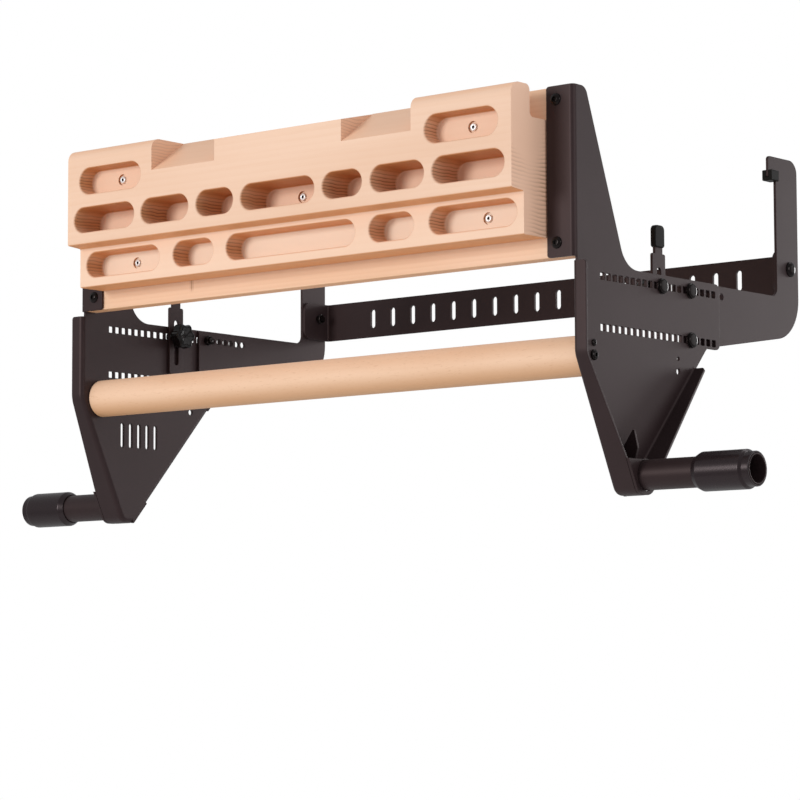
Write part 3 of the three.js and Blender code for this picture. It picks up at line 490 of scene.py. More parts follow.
def pocket_cutter(x_from, x_to, row, tall, front, depth):
    """Rings of a slot outline: wider by a quarter round at the rim, narrower by one at the floor."""
    turn = np.linspace(np.pi / 2, 0, 7)
    rim_places, rim_grows = front + rim_round * (1 - np.sin(turn)), rim_round * (1 - np.cos(turn))
    turn = turn[::-1]
    floor_places = front + depth - floor_round * (1 - np.sin(turn))
    floor_grows = -floor_round * (1 - np.cos(turn))
    places = np.concatenate([[front - overrun], rim_places, floor_places])
    grows = np.concatenate([[rim_round], rim_grows, floor_grows])
    rings = []
    for y, grow in zip(places, grows):
        outline = slot((x_from + x_to) / 2, row, x_to - x_from + 2 * grow, tall + 2 * grow, steps=18)
        rings.append(np.stack([outline[:, 0], np.full(len(outline), y), outline[:, 1]], -1))
    return shaped("pocket", loft(rings))


def slope_cutter(front_height, slope, x_from, x_to):
    """A wedge of everything above a plane that rises towards the back."""
    before, behind = block_front - overrun, block_back + overrun
    low, high = (front_height + slope * (y - block_front) for y in (before, behind))
    outline = np.array([[before, low], [behind, high], [behind, high + above], [before, high + above]])
    return shaped("slope", slab([outline], x_from, x_to, "x"))


def channel_cutter(x_from, x_to):
    """The channel behind a lip: its front side curls forward into the lip's round top."""
    ahead, top = lip_back - lip_round, block_top + 9.0
    outline = curve([
        [ahead, block_top], [lip_back, block_top, lip_round], [lip_back, channel_floor, channel_round],
        [channel_rear, channel_floor], [channel_rear, top], [ahead, top],
    ])
    return shaped("channel", slab([outline], x_from, x_to, "x"))


sink_radius, sink_deep, sink_above = 6.0, 2.6, 4.0
screw_places = [  # x, z and the y of the pocket's floor
    (-240.0, 225.3, -63.4), (240.0, 225.3, -63.4), (0.0, 184.0, -43.4), (-240.0, 138.0, -40.3),
    (240.0, 138.0, -40.3),
]


def turned(profile, centre, way, sides=48):
    """A profile of [radius, place along the axis] turned about an axis along x or y through the centre. A radius
    may also be an array with a value for each side."""
    angle = 2 * np.pi * (np.arange(sides) + 0.5) / sides
    radii = np.stack([np.broadcast_to(radius, sides) for radius, _ in profile])
    ring = radii * np.stack([np.cos(angle), np.sin(angle)])[:, None, :]
    along = np.broadcast_to(np.array([place for _, place in profile], float)[:, None], radii.shape)
    parts = [along, ring[0], ring[1]] if way == "x" else [ring[0], along, ring[1]]
    points = np.stack(parts, -1) + np.asarray(centre, float)
    return points.reshape(-1, 3), grid_faces(len(profile), sides)


def hangboard_block():
    """A stepped profile with rounded corners carried along x, less the slopers, the crown, the channels, the
    pockets and the round sinkings for the screws' heads."""
    profile = curve([
        [block_front, ledge_front, block_edge], [block_front, block_top, lip_round],
        [block_back, block_top, block_edge], [block_back, block_bottom, block_edge],
        [lower_front, block_bottom, block_edge], [lower_front, ledge_back, block_edge],
    ], turn=6.0)
    block = shaped("hangboard_block_milled", slab([profile], -block_half, block_half, "x"))
    tools = [
        slope_cutter(sloper_front, sloper_slope, sloper_from, sloper_to),
        slope_cutter(sloper_front, sloper_slope, -sloper_to, -sloper_from),
        slope_cutter(crown_front, crown_slope, -crown_half, crown_half),
        channel_cutter(channel_from, channel_to), channel_cutter(-channel_to, -channel_from),
        pocket_cutter(-centre_half, centre_half, *middle_row),
        pocket_cutter(-low_centre_half, low_centre_half, *low_row),
    ]
    for pockets, row in pocket_rows:
        for x_from, x_to in pockets:
            tools += [pocket_cutter(x_from, x_to, *row), pocket_cutter(-x_to, -x_from, *row)]
    for x, z, floor in screw_places:
        start, end = floor - sink_above, floor + sink_deep
        profile = [[0, start], [sink_radius, start], [sink_radius, end], [0, end]]
        tools.append(shaped("sink", turned(profile, (x, 0, z), "y")))
    return combined(block, "DIFFERENCE", tools)


# The edges that turn by more than 40 degrees are rounded over.
soft_edges = {"limit_method": "ANGLE", "angle_limit": np.radians(40.0), "use_clamp_overlap": True}
block = worked(hangboard_block(), "BEVEL", width=1.6, segments=3, **soft_edges)
fitted(block, block_wood(), ["hangboard_block"], "front_frame")


# The backing board is planed from finger-jointed laths of the same wood: the block is screwed to its front and
# the plates' folds are bolted to its ends.
lath_tall, lath_start = 0.0418, 0.1157  # metres: height of a lath, and how far below zero the first one starts
first_joint, joint_step = 0.1723, 0.131  # how far left of the middle the first lath's joint is, and its step


def board_wood():
    """Pale wood with fibres lengthwise, with painted shade that browns the faces that look down. Each lath has a
    joint across it, two fine lines in its middle third.
    """
    material, shader, place, facing = finish("board_wood")
    nx, _, nz = facing.split()
    x, y, z = place.split()
    late = rings_of(place, (-0.52, 0.40), 0.0046, 0.010)
    fibres = place.scaled((5.0, 190.0, 190.0)).noise(1.0, 4.0, 0.6)
    cloud = place.scaled((4.0, 8.0, 20.0)).noise(1.0, 2.0)
    pale = cloud.ramp((0.3, (0.90, 0.60, 0.405)), (0.72, (0.95, 0.66, 0.475)))
    fibred = pale.tint((0.74, 0.42, 0.23), ((fibres - 0.5) * 0.5).held())
    streaked = fibred.tint((0.76, 0.44, 0.25), late * 0.18)
    lath = z.maths("FLOOR", (z + lath_start) / lath_tall)
    off_joint = abs(x + first_joint - lath * joint_step)
    in_lath = z - lath * lath_tall
    fingers = 1.0 - off_joint.step(0.0004, 0.0010) + (1.0 - abs(off_joint - 0.0022).step(0.0002, 0.0008)) * 0.45
    joint = fingers.held() * in_lath.step(-0.109, -0.103) * (1.0 - in_lath.step(-0.096, -0.090))
    jointed = streaked.tint((0.34, 0.14, 0.05), joint * 0.75)
    # Painted shade: the faces that look down are browned.
    shaded_underneath = jointed.tint((0.74, 0.36, 0.15), (0.0 - nz).step(0.35, 0.95) * 0.6)
    feed(shader, Base_Color=shaded_underneath.tint((0.60, 0.34, 0.19), abs(nx) ** 3.0 * 0.6), Roughness=0.5 + fibres * 0.15)
    feed(shader, Normal=bumped(fibres + late * 0.3, 0.0001, 0.5), Specular_IOR_Level=0.4)
    return material


board_half, board_bottom, board_top, board_front, board_back, board_edge = 333.0, 94.0, 261.0, -26.7, -8.7, 1.2
board_outline = curve([
    [-board_half, board_bottom, board_edge], [board_half, board_bottom, board_edge],
    [board_half, board_top, board_edge], [-board_half, board_top, board_edge],
])
board = shaped("backing_board_planed", slab([board_outline], board_front, board_back, "y", board_edge))
fitted(board, board_wood(), ["backing_board"], "front_frame")


# Zinc-plated button screws hold the block to the board. Each head stands in a shallow sinking at the bottom of
# its pocket and has a six-sided socket.
def grained(name, fineness, dark, light):
    """A finish with a fine grain that carries its colour from dark to light."""
    material, shader, place, _ = finish(name)
    grain = place.noise(fineness, 2.0)
    return material, shader, place, grain, grain.ramp((0.3, dark), (0.7, light))


def bright_zinc():
    """Bright plating with a fine grain in its gloss, and painted shade that darkens it in a key socket."""
    shades = (0.80, 0.80, 0.81), (0.92, 0.92, 0.92)
    material, shader, place, grain, plating = grained("bright_zinc", 900.0, *shades)
    socket = place.node("Attribute", {"attribute_name": "socket"}, output="Fac")
    # Painted shade darkens the key socket.
    colour = plating.tint((0.02, 0.02, 0.03), socket)
    feed(shader, Base_Color=colour, Roughness=0.26 + grain * 0.15, Metallic=0.4)
    return material


def keyed(name, profile, centre, way, reach, side=1):
    """A turned piece whose rings within a reach of its axis are pulled in to a hexagon as a key socket: each
    point keeps its angle, and its radius is that of the hexagon inside the ring. Those points are marked, so
    that the finish can paint shade into the socket. A side of -1 mirrors it."""
    points, faces = turned(profile, centre, way)
    axes = [1, 2] if way == "x" else [0, 2]
    middle = np.asarray(centre, float)[axes]
    for row in points.reshape(-1, 48, 3):
        across = row[:, axes] - middle
        radius = np.linalg.norm(across, axis=1)
        if 0.2 < radius[0] < reach:
            angle = np.arctan2(across[:, 1], across[:, 0])
            wrapped = (angle + np.pi / 6) % (np.pi / 3) - np.pi / 6
            row[:, axes] = middle + across * (np.cos(np.pi / 6) / np.cos(wrapped))[:, None]
    piece = shaped(name, (points * [side, 1, 1], faces))
    mesh = piece.data
    places = np.empty(len(mesh.vertices) * 3, np.float32)
    mesh.vertices.foreach_get("co", places)
    inside = np.linalg.norm(places.reshape(-1, 3)[:, axes] - middle, axis=1) < reach
    mesh.attributes.new("socket", "FLOAT", "POINT").data.foreach_set("value", inside.astype(np.float32))
    return piece


screw_head, screw_head_tall, screw_shank, screw_end = 3.8, 2.4, 1.6, -12.7
socket_radius, socket_reach = 1.5, 1.55
zinc = bright_zinc()
for number, (x, z, floor) in enumerate(screw_places, 1):
    seat = floor + 2.3
    top, socket_floor = seat - screw_head_tall, seat - 0.4
    screw_profile = curve([
        [0, socket_floor], [socket_radius, socket_floor], [socket_radius, top + 0.15],
        [socket_radius + 0.15, top], [screw_head, top, 0.9], [screw_head, seat], [screw_shank, seat],
        [screw_shank, screw_end], [0, screw_end],
    ], closed=False)
    screw = keyed(f"board_screw_{number}", screw_profile, (x, 0, z), "y", socket_reach)
    fitted(screw, zinc, [f"hangboard_screw_{number}"], "front_frame", 50.0)


# The pull-up bar is turned from the same wood, sanded and left with its fine flecks. A long screw through each
# plate holds it on its axis and a small one beside it stops it turning.
def bar_wood():
    """Pale wood with fibres and short flecks lengthwise, with painted shade that browns it where it faces down.
    """
    material, shader, place, facing = finish("bar_wood")
    _, _, nz = facing.split()
    fibres = place.scaled((9.0, 260.0, 260.0)).noise(1.0, 4.0, 0.6)
    cloud = place.scaled((5.0, 26.0, 26.0)).noise(1.0, 2.0)
    flecks = place.scaled((160.0, 900.0, 900.0)).noise(1.0, 1.0).step(0.62, 0.72)
    pale = cloud.ramp((0.3, (0.86, 0.55, 0.36)), (0.72, (0.92, 0.62, 0.43)))
    fibred = pale.tint((0.74, 0.43, 0.25), ((fibres - 0.5) * 0.5).held())
    streaked = fibred.tint((0.66, 0.37, 0.21), flecks * 0.3)
    # Painted shade: the faces that look down are browned.
    under = (0.0 - nz).step(0.05, 0.95)
    feed(shader, Base_Color=streaked.tint((0.62, 0.31, 0.13), under * 0.75), Roughness=0.45 + fibres * 0.15)
    feed(shader, Normal=bumped(fibres, 0.00008, 0.5), Specular_IOR_Level=0.4)
    return material


def black_bolt():
    """Glossy blackened steel, with painted shade that darkens it in a key socket, where it is also duller."""
    shades = (0.004, 0.003, 0.003), (0.007, 0.005, 0.005)
    material, shader, place, grain, steel = grained("black_bolt_steel", 900.0, *shades)
    socket = place.node("Attribute", {"attribute_name": "socket"}, output="Fac")
    # Painted shade darkens the key socket.
    colour = steel.tint((0.001, 0.001, 0.001), socket)
    feed(shader, Base_Color=colour, Roughness=0.10 + grain * 0.05 + socket * 0.5, Specular_IOR_Level=0.18)
    feed(shader, Specular_Tint=(1.0, 0.86, 0.85, 1.0))
    return material


bar_half, bar_radius, bar_round = 333.7, 20.0, 1.5
bolt_steel = black_bolt()
bar_profile = curve([
    [0, -bar_half], [bar_radius, -bar_half, bar_round], [bar_radius, bar_half, bar_round], [0, bar_half],
], closed=False)
bar = shaped("pull_up_bar_turned", turned(bar_profile, (0, 0, 0), "x", 128))
fitted(bar, bar_wood(), ["pull_up_bar"], "front_frame")
hands = (("right", 1), ("left", -1))
plate_seat, bolt_radius, bar_head, bar_head_tall, bar_socket, bar_screw_end = 337.3, 3.0, 5.3, 3.0, 0.45, 294.3


def button_profile(radius, tall, seat, socket, shank, end):
    """From the socket's floor up its side, over the round crown and down to the seat, a quarter of an ellipse,
    then along the shank to its end. The socket's radius is a share of the head's, and it goes down through 0.55
    of the head. The head stands on the side of the seat that is away from the shank's end."""
    out, turn = np.sign(seat - end), np.linspace(np.pi / 2, 0, 12)
    crown = np.stack([radius * np.cos(turn), seat + out * tall * np.sin(turn)], -1)
    crown = crown[crown[:, 0] > radius * socket + 0.3]
    lip = seat + out * tall * np.sqrt(1 - socket ** 2)
    well_floor = lip - out * tall * 0.55
    well = [[0, well_floor], [radius * socket * 0.96, well_floor], [radius * socket, lip - out * 0.1]]
    stem = [[radius, seat], [shank, seat], [shank, end], [0, end]]
    return np.concatenate([well, [[radius * socket + 0.15, lip]], crown, stem])


def handed(name, side, *shells):
    """A piece from shells that are drawn for the right hand, mirrored where the side is -1."""
    return shaped(name, *[(points * [side, 1, 1], faces) for points, faces in shells])


def pair(node, made, body, look, *shells, level=""):
    """A piece for each hand, which rides on a frame or on that hand's own body. The look is its material, its
    slot, which is not used, and the angle from which its edges stay sharp."""
    material, material_slot, sharp = look
    for hand, side in hands:
        piece = handed(f"{node}_{made}{level}_{hand}", side, *shells)
        own_body = body if body.endswith("frame") else f"{body}_{hand}"
        fitted(piece, material, [f"{node}{level}_{hand}"], own_body, sharp)


bolt_look, nut_look = (bolt_steel, "black_bolt", 50.0), (bolt_steel, "black_bolt", 30.0)
profile = button_profile(bar_head, bar_head_tall, plate_seat, bar_socket, bolt_radius, bar_screw_end)
bar_reach = bar_head * (bar_socket + 0.02)
for hand, side in hands:
    screw = keyed(f"bar_screw_turned_{hand}", profile, (0, 0, 0), "x", bar_reach, side)
    fitted(screw, bolt_steel, [f"bar_screw_{hand}"], "front_frame", 50.0)
pin_head, pin_head_tall, pin_socket, pin_radius, pin_end, pin_height = 3.6, 1.6, 0.4, 1.8, 314.0, 12.0
profile = button_profile(pin_head, pin_head_tall, plate_seat, pin_socket, pin_radius, pin_end)
pair("bar_pin", "turned", "front_frame", bolt_look, turned(profile, (0, 0, pin_height), "x", 32))


# The side plates are cut from 3 mm sheet with two rows of square holes, folded inward at the board, folded
# outward along the front and rear edges down to the tip, and powder coated.
def powder_coat():
    """Black coat with a slow cloud in its colour and a fine grain that stands out a little."""
    material, shader, place, _ = finish("black_powder_coat")
    grain = place.noise(2400.0, 2.0)
    cloud = place.noise(14.0, 3.0)
    colour = cloud.ramp((0.3, (0.021, 0.0125, 0.0130)), (0.7, (0.027, 0.0165, 0.0175)))
    feed(shader, Base_Color=colour, Roughness=0.40 + grain * 0.10, Specular_IOR_Level=0.29)
    feed(shader, Specular_Tint=(1.0, 0.76, 0.76, 1.0))
    feed(shader, Normal=bumped(grain, 0.00005, 0.35))
    return material


coat = powder_coat()
coat_look = (coat, "black_coat", 40.0)
inner_face, outer_face, sheet, sheet_rim = 334.0, 337.0, 3.0, 0.4
fold_radius, fold_lap, free_corner, free_edge = 5.0, 4.0, 3.0, 0.6
nose_width, tip_width, board_width = 16.0, 27.0, 33.0  # of the folds
plate_top, plate_front, kink_height, flare_end = 261.5, -30.0, -1.0, -100.0
tip_bottom, tip_front, tip_rear, tip_round = -134.4, 34.0, 52.0, 12.0
wing_corner, wing_rear, wing_bottom, wing_top, wing_round = 193.0, 216.0, 22.0, 89.2, 6.0
upper_row, lower_row, first_hole, hole_pitch, hole_half, hole_round = 78.0, 28.0, 15.0, 10.0, 3.5, 0.9


def front_at(z):
    """The front edge's y on the straight line from the kink to the tip."""
    return plate_front + (tip_front - plate_front) * (z - kink_height) / (tip_bottom - kink_height)


def rear_at(z):
    """The rear edge's y on the straight line from the wing's corner to the tip."""
    return wing_corner + (tip_rear - wing_corner) * (z - wing_bottom) / (tip_bottom - wing_bottom)


def flare(z):
    """Width of the outward folds: even above the kink, then growing in a straight line down to the tip."""
    return nose_width + (tip_width - nose_width) * np.clip((kink_height - z) / (kink_height - flare_end), 0, 1)


def left_normals(path):
    """Directions to the left of an open path, longer at its bends so that a strip keeps its width."""
    along = np.diff(path, axis=0)
    normal = np.stack([-along[:, 1], along[:, 0]], -1) / np.linalg.norm(along, axis=1)[:, None]
    before, after = np.concatenate([normal[:1], normal]), np.concatenate([normal, normal[-1:]])
    return (before + after) / (1 + np.sum(before * after, 1))[:, None]


def moved_in(corners, depth):
    """An edge's corners moved into the sheet, with their rounds that much smaller."""
    places = np.array([corner[:2] for corner in corners], float)
    places += left_normals(places) * depth
    return [[*place, (corner[2] if len(corner) > 2 else 0) - depth] for place, corner in zip(places, corners)]


def fold(corners, face, way_out, width_at):
    """A fold: a section of lap, bend and strip with a round free edge, carried along the outside line of the
    edge. The width shrinks over a quarter circle at both ends of the line."""
    path = curve(corners, closed=False, turn=5.0)
    walked = np.concatenate([[0], np.cumsum(np.linalg.norm(np.diff(path, axis=0), axis=1))])
    whole = walked[-1]
    early = free_corner * (1 - np.cos(np.linspace(0, np.pi / 2, 7)[1:]))
    stations = np.unique(np.round(np.concatenate([walked, early, whole - early]), 4))
    places = np.stack([np.interp(stations, walked, path[:, i]) for i in range(2)], -1)
    normals = np.stack([np.interp(stations, walked, left_normals(path)[:, i]) for i in range(2)], -1)
    near_end = np.clip(np.minimum(stations, whole - stations), 0, free_corner)
    lost = free_corner - np.sqrt(free_corner ** 2 - (free_corner - near_end) ** 2)
    turn, edge = np.linspace(0, np.pi / 2, 9), np.linspace(0, np.pi / 2, 4)
    outer = np.stack([fold_radius - fold_radius * np.cos(turn), fold_radius - fold_radius * np.sin(turn)], -1)
    tight, lap, soft = fold_radius - sheet, fold_radius + fold_lap, free_edge
    inner = np.stack([fold_radius - tight * np.cos(turn), fold_radius - tight * np.sin(turn)], -1)[::-1]
    rings = []
    for place, normal, width in zip(places, normals, width_at(places[:, 1]) - lost):
        near = np.stack([width - soft + soft * np.sin(edge), soft - soft * np.cos(edge)], -1)
        far = np.stack([width - soft + soft * np.cos(edge), sheet - soft + soft * np.sin(edge)], -1)
        section = np.concatenate([[[0, lap]], outer, near, far, inner, [[sheet, lap]]])
        rings.append(np.concatenate([face + way_out * section[:, :1], place + section[:, 1:] * normal], 1))
    return loft(rings)


nose_edge = [
    [plate_front, 89.0], [plate_front, kink_height, 24.0], [front_at(flare_end), flare_end],
    [tip_front, tip_bottom, tip_round], [tip_rear - 2.0, tip_bottom],
]
rear_edge = [[rear_at(z), z] for z in (-112.0, flare_end, -2.0)]
board_edge_line = [[plate_front, plate_top], [plate_front, 93.8]]
plate_outline = curve([
    [plate_front + fold_radius, plate_top], *moved_in(nose_edge, fold_radius), nose_edge[-1],
    [tip_rear, tip_bottom], rear_edge[0], *moved_in(rear_edge, fold_radius), rear_edge[-1],
    [wing_corner, wing_bottom, wing_round], [wing_rear, wing_bottom, wing_round],
    [wing_rear, wing_top, wing_round], [54.0, wing_top, 29.0], [-9.6, plate_top, 10.0],
], turn=6.0)
holes = [
    curve([[y + a * hole_half, z + b * hole_half, hole_round] for a, b in square], turn=30.0)
    for z in (upper_row, lower_row) for y in first_hole + hole_pitch * np.arange(20)
]
holes += [circle(142.0, 7.7, 2.1), circle(142.0, -5.4, 3.2), circle(0.0, 0.0, 3.3), circle(0.0, 12.0, 2.1)]
vents = [slot(33.0 + 13.0 * k, -38.0, 27.0, 5.0, upright=True, steps=8) for k in range(5)]
folds = [
    fold(board_edge_line, outer_face, -1, lambda z: np.full(len(z), board_width)),
    fold(nose_edge, inner_face, 1, flare), fold(rear_edge, inner_face, 1, flare),
]
for hand, side in hands:
    web = slab([plate_outline, *holes, *(vents if side < 0 else [])], inner_face, outer_face, "x", sheet_rim)
    plate = handed(f"side_plate_folded_{hand}", side, web)
    combined(plate, "UNION", [handed("fold", side, shell) for shell in folds])
    fitted(plate, coat, [f"side_plate_{hand}"], "front_frame")


# Black button bolts with key sockets, two on each side, go through the plates' folds and the board. Each is
# turned from blackened steel and drawn up by a zinc-plated nut behind the board.
nut_across, nut_tall, nut_bore = 10.0, 5.0, 3.3


def nut(centre, way, start):
    """A six-sided nut whose corners are turned down at both faces: a hexagon prism cut by a cone."""
    angle = 2 * np.pi * (np.arange(48) + 0.5) / 48
    wrapped = (angle + np.pi / 6) % (np.pi / 3) - np.pi / 6
    flat = nut_across / 2 / np.cos(wrapped)
    half = [(nut_bore, 0.35), (nut_bore + 0.35, 0.0)]
    half += [(np.minimum(flat, nut_across * share), height) for share, height in ((0.47, 0.0), (0.6, 0.75))]
    whole = half + [(radius, nut_tall - height) for radius, height in half[::-1]] + half[:1]
    return turned([(radius, start + height) for radius, height in whole], centre, way)


face_bolt_x, face_head, face_head_tall, face_socket = 316.0, 6.0, 3.2, 0.42
face_seat, face_nut, face_end = -30.3, -8.4, -1.4
profile = button_profile(face_head, face_head_tall, face_seat, face_socket, bolt_radius, face_end)
face_reach = face_head * (face_socket + 0.02)
for hand, side in hands:
    for level, z in (("upper", 248.0), ("lower", 108.0)):
        centre = (side * face_bolt_x, 0, z)
        bolt = keyed(f"board_bolt_{level}_{hand}", profile, centre, "y", face_reach)
        fitted(bolt, bolt_steel, [f"face_bolt_{level}_{hand}"], "front_frame", 50.0)
        held = shaped(f"board_nut_{level}_{hand}", nut(centre, "y", face_nut))
        fitted(held, zinc, [f"face_nut_{level}_{hand}"], "front_frame", 30.0)


# Each handle is a steel tube welded into the plate's tip: a plate closes the folds round it and a small rib
# stands on it. A black rubber grip is pushed over its outer half.
def plain_black(name, fineness, shades, gloss, level, specular_tint=(1.0, 1.0, 1.0, 1.0)):
    """Black with a fine grain in its colour and in its roughness, which is gloss[0] plus gloss[1] times it."""
    material, shader, _, grain, colour = grained(name, fineness, *shades)
    feed(shader, Base_Color=colour, Roughness=gloss[0] + grain * gloss[1], Specular_IOR_Level=level)
    feed(shader, Specular_Tint=specular_tint)
    return material


grip_shades = (0.010, 0.006, 0.007), (0.016, 0.010, 0.011)
grip_rubber = plain_black("grip_rubber", 1500.0, grip_shades, (0.24, 0.08), 0.36, (1.0, 0.84, 0.88, 1.0))
tube_y, tube_z, tube_bore, tube_radius, tube_end = 47.5, -115.0, 13.5, 15.0, 492.0
grip_bore, grip_start, grip_end = 15.3, 426.0, 491.4
cap_top, rib_foot, rib_half = -100.0, -99.7, 1.5
cap_outline = curve([
    [front_at(cap_top), cap_top], [tip_front, tip_bottom, tip_round], [tip_rear + 3.0, tip_bottom, 15.0],
    [rear_at(cap_top), cap_top],
], turn=6.0)
rib_outline = curve([
    [plate_seat, -86.0], [plate_seat, rib_foot], [350.9, rib_foot], [354.5, -88.0, 1.0], [350.0, -68.0, 1.5],
])
tube_profile = curve([
    [tube_bore, plate_seat], [tube_radius, plate_seat], [tube_radius, tube_end, 0.7], [tube_bore, tube_end, 0.7],
])
grip_profile = curve([
    [grip_bore, grip_start, 0.4], [16.2, grip_start, 0.8], [19.2, 432.0, 3.0], [19.2, 481.5, 2.2],
    [17.0, 484.0, 1.2], [17.0, grip_end, 1.0], [grip_bore, grip_end, 0.3],
])
cap = slab([cap_outline, circle(tube_y, tube_z, grip_bore, 96)], 361.3, 364.3, "x", sheet_rim)
rib = slab([rib_outline], tube_y - rib_half, tube_y + rib_half, "y", sheet_rim)
tube, grip = (
    turned(np.concatenate([profile, profile[:1]]), (0, tube_y, tube_z), "x", 96)
    for profile in (tube_profile, grip_profile)
)
pair("tip_cap", "formed", "front_frame", coat_look, cap)
pair("gusset", "formed", "front_frame", coat_look, rib)
pair("handle_tube", "formed", "front_frame", coat_look, tube)
pair("grip_sleeve", "formed", "front_frame", (grip_rubber, "grip_rubber", 40.0), grip)


# The rear frame slides in the plates' rows of holes: an arm of flat sheet on each side runs back, turns up at
# its end and hooks forward on a rubber pad. A slotted brace of folded sheet is bolted between the arms.
rubber_shades = (0.005, 0.0042, 0.004), (0.009, 0.0075, 0.007)
rubber_look = (plain_black("dull_rubber", 1200.0, rubber_shades, (0.34, 0.12), 0.08), "rubber", 40.0)
arm_outer, arm_inner, arm_bolt_y, arm_bolt_end, brace_bolt = 333.7, 330.7, 165.0, 323.4, (354.4, 119.4)
bolt_spare = 2.0  # how far a bolt's end stands out of its nut
hook_front, hook_bottom, upright_front, upright_rear = 315.0, 214.0, 328.8, 369.7
arm_outline = curve([
    [152.0, 88.5, 3.0], [152.0, 16.0, 3.0], [upright_rear, 50.0, 45.0], [upright_rear, 236.0, 14.0],
    [hook_front, 236.0, 4.0], [hook_front, hook_bottom, 1.0], [upright_front, hook_bottom, 1.0],
    [upright_front, 88.5, 9.0],
], turn=6.0)
arm_holes = [circle(arm_bolt_y, lower_row, hole_half), circle(*brace_bolt, hole_half)]
arm_holes += [circle(arm_bolt_y + hole_pitch * k, upper_row, hole_half) for k in range(7)]
pad_outline = curve([
    [326.2, 209.7, 1.5], [338.2, 209.7, 1.5], [338.2, 221.0, 1.0], [334.0, 221.0], [334.0, 213.7],
    [330.4, 213.7], [330.4, 221.0], [326.2, 221.0, 1.0],
])
brace_half, brace_front, brace_rear = arm_inner - 0.3, 329.5, 374.4
brace_bottom, brace_top, brace_round = 94.4, 137.8, 10.0
brace_nut = brace_half - sheet - 0.3 - nut_tall


def carriage_bolt(y, z, thread_end):
    """A domed head, flatter than an ellipse, on a square neck in the plate's hole, with its thread inward."""
    turn = np.linspace(np.pi / 2, 0, 16)
    crown = np.stack([7.6 * np.cos(turn) ** 0.6, 338.1 + 3.0 * np.sin(turn) ** 0.6], -1)
    rim = [[8.0, 337.9], [8.0, 337.5], [7.7, plate_seat]]
    shank = [[bolt_radius, plate_seat], [bolt_radius, thread_end + 0.4], [2.6, thread_end], [0, thread_end]]
    neck = curve([[y + a * 3.2, z + b * 3.2, 0.5] for a, b in square])
    head = turned(np.concatenate([crown, rim, shank]), (0, y, z), "x")
    return head, slab([neck], inner_face, plate_seat + 0.05, "x")


pair("rear_arm", "cut", "rear_frame", coat_look,
     slab([arm_outline, *arm_holes], arm_inner, arm_outer, "x", sheet_rim))
points, faces = slab([pad_outline], hook_front, 328.2, "z")
pair("hook_pad", "moulded", "rear_frame", rubber_look, (points[:, [0, 2, 1]], faces))
for level, z in (("_upper", upper_row), ("_lower", lower_row)):
    shells = carriage_bolt(arm_bolt_y, z, arm_bolt_end)
    pair("arm_bolt", "turned", "rear_frame", bolt_look, *shells, level=level)
    shell = nut((0, arm_bolt_y, z), "x", arm_bolt_end + bolt_spare)
    pair("arm_nut", "cut", "rear_frame", nut_look, shell, level=level)
turn = np.linspace(np.pi / 2, 0, 10)
crown = np.stack([8.0 * np.cos(turn), inner_face + 4.0 * np.sin(turn)], -1)
brace_end = brace_nut - bolt_spare
profile = np.concatenate([crown, [[bolt_radius, inner_face], [bolt_radius, brace_end], [0, brace_end]]])
pair("brace_bolt", "turned", "rear_frame", bolt_look, turned(profile, (0, *brace_bolt), "x"))
pair("brace_nut", "cut", "rear_frame", nut_look, nut((0, *brace_bolt), "x", brace_nut))


def brace():
    """A channel folded forward at both ends, with a row of upright slots in its web, quarter rounds at the free
    corners of its folds and a bore through them for the bolts."""
    inside, reach, pitch = brace_half - sheet, brace_half + 5.0, brace_half / 10.9
    plan = curve([
        [-brace_half, brace_front], [-brace_half, brace_rear, 5.0], [brace_half, brace_rear, 5.0],
        [brace_half, brace_front], [inside, brace_front], [inside, brace_rear - sheet, 2.0],
        [-inside, brace_rear - sheet, 2.0], [-inside, brace_front],
    ])
    piece = shaped("rear_brace_folded", slab([plan], brace_bottom, brace_top, "z", sheet_rim))
    tools, web_ahead, web_behind = [], 360.0, 380.0
    for k in range(9):
        for x in (-(k + 0.5) * pitch, (k + 0.5) * pitch):
            outline = slot(x, 116.1, 22.0, 7.0, upright=True, steps=10)
            tools.append(shaped("slot", slab([outline], web_ahead, web_behind, "y")))
    tools.append(shaped("bore", slab([circle(*brace_bolt, nut_bore)], -reach, reach, "x")))
    turn, middle, ahead = np.linspace(0, np.pi / 2, 10), brace_front + brace_round, brace_front - 1.0
    for z, up in ((brace_bottom, 1), (brace_top, -1)):
        arc = np.stack([middle - brace_round * np.sin(turn), z + up * brace_round * (1 - np.cos(turn))], -1)
        waste = np.concatenate([[[ahead, z - up], [middle, z - up]], arc, [[ahead, z + up * brace_round]]])
        tools.append(shaped("corner", slab([waste], -reach, reach, "x")))
    return combined(piece, "DIFFERENCE", tools)


fitted(brace(), coat, ["rear_brace"], "rear_frame")


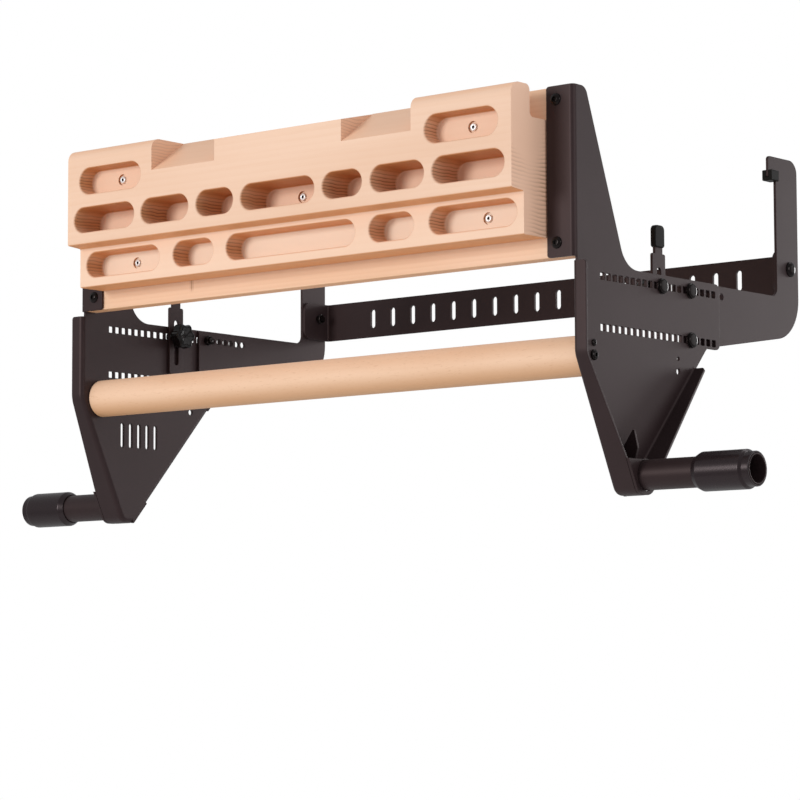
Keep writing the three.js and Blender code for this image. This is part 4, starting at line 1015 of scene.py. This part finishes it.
# The two height stops stand behind the board: a slotted strap of sheet with a moulded rubber cap on its neck,
# clamped to the plate's inner face by a carriage bolt and a star knob of black plastic.
knob_shades = (0.004, 0.003, 0.003), (0.008, 0.006, 0.006)
knob_plastic = plain_black("moulded_plastic", 1800.0, knob_shades, (0.13, 0.06), 0.22)
stop_y, knob_seat, knob_radius, knob_lobe, knob_tall, knob_soft = 115.0, 330.4, 13.4, 1.3, 12.0, 2.2
hub_radius, hub_tall, bore_floor = 7.5, 3.4, 3.5
strap_outline = curve([
    [104.0, 36.0, 3.0], [126.0, 36.0, 3.0], [126.0, 111.0, 5.0], [121.5, 111.0], [121.5, 134.0, 3.0],
    [108.5, 134.0, 3.0], [108.5, 111.0], [104.0, 111.0, 5.0],
])
strap_slot = slot(stop_y, 71.5, 51.0, 7.0, upright=True)
sheath_outline = curve([[106.7, 117.0, 3.0], [123.3, 117.0, 3.0], [123.3, 139.5, 5.0], [106.7, 139.5, 5.0]])


def knob():
    """Rings of a six-lobed outline whose radius swells by a cosine, drawn in at both faces by a quarter round,
    on a round hub, with a blind bore for the bolt."""
    angle = 2 * np.pi * np.arange(96) / 96
    lobes = knob_radius + knob_lobe * np.cos(6 * angle)
    front, back = knob_seat - hub_tall - knob_tall, knob_seat - hub_tall
    drawn = [(knob_soft * (1 - np.sin(t)), knob_soft * (1 - np.cos(t))) for t in np.linspace(0, np.pi / 2, 6)]
    rows = [(0.01, front + 0.8), (lobes * 0.5, front + 0.8), (lobes * 0.62, front)]
    rows += [(lobes - less, front + on) for less, on in drawn]
    rows += [(lobes - less, back - on) for less, on in drawn[::-1]]
    rows += [(hub_radius, back), (hub_radius, knob_seat - 0.4), (hub_radius - 0.4, knob_seat)]
    rows += [(nut_bore, knob_seat), (nut_bore, front + bore_floor), (0.01, front + bore_floor)]
    across, up = np.cos(angle), np.sin(angle)
    return loft([np.stack([np.full(96, x), stop_y + r * across, upper_row + r * up], -1) for r, x in rows])


pair("stop_strap", "cut", "stop", coat_look,
     slab([strap_outline, strap_slot], arm_inner, arm_outer, "x", sheet_rim))
pair("stop_cap", "moulded", "stop", rubber_look, slab([sheath_outline], 329.0, 335.4, "x", 1.4, 5))
pair("stop_bolt", "turned", "front_frame", bolt_look, *carriage_bolt(stop_y, upper_row, 318.8))
pair("stop_knob", "moulded", "knob", (knob_plastic, "black_plastic", 40.0), knob())
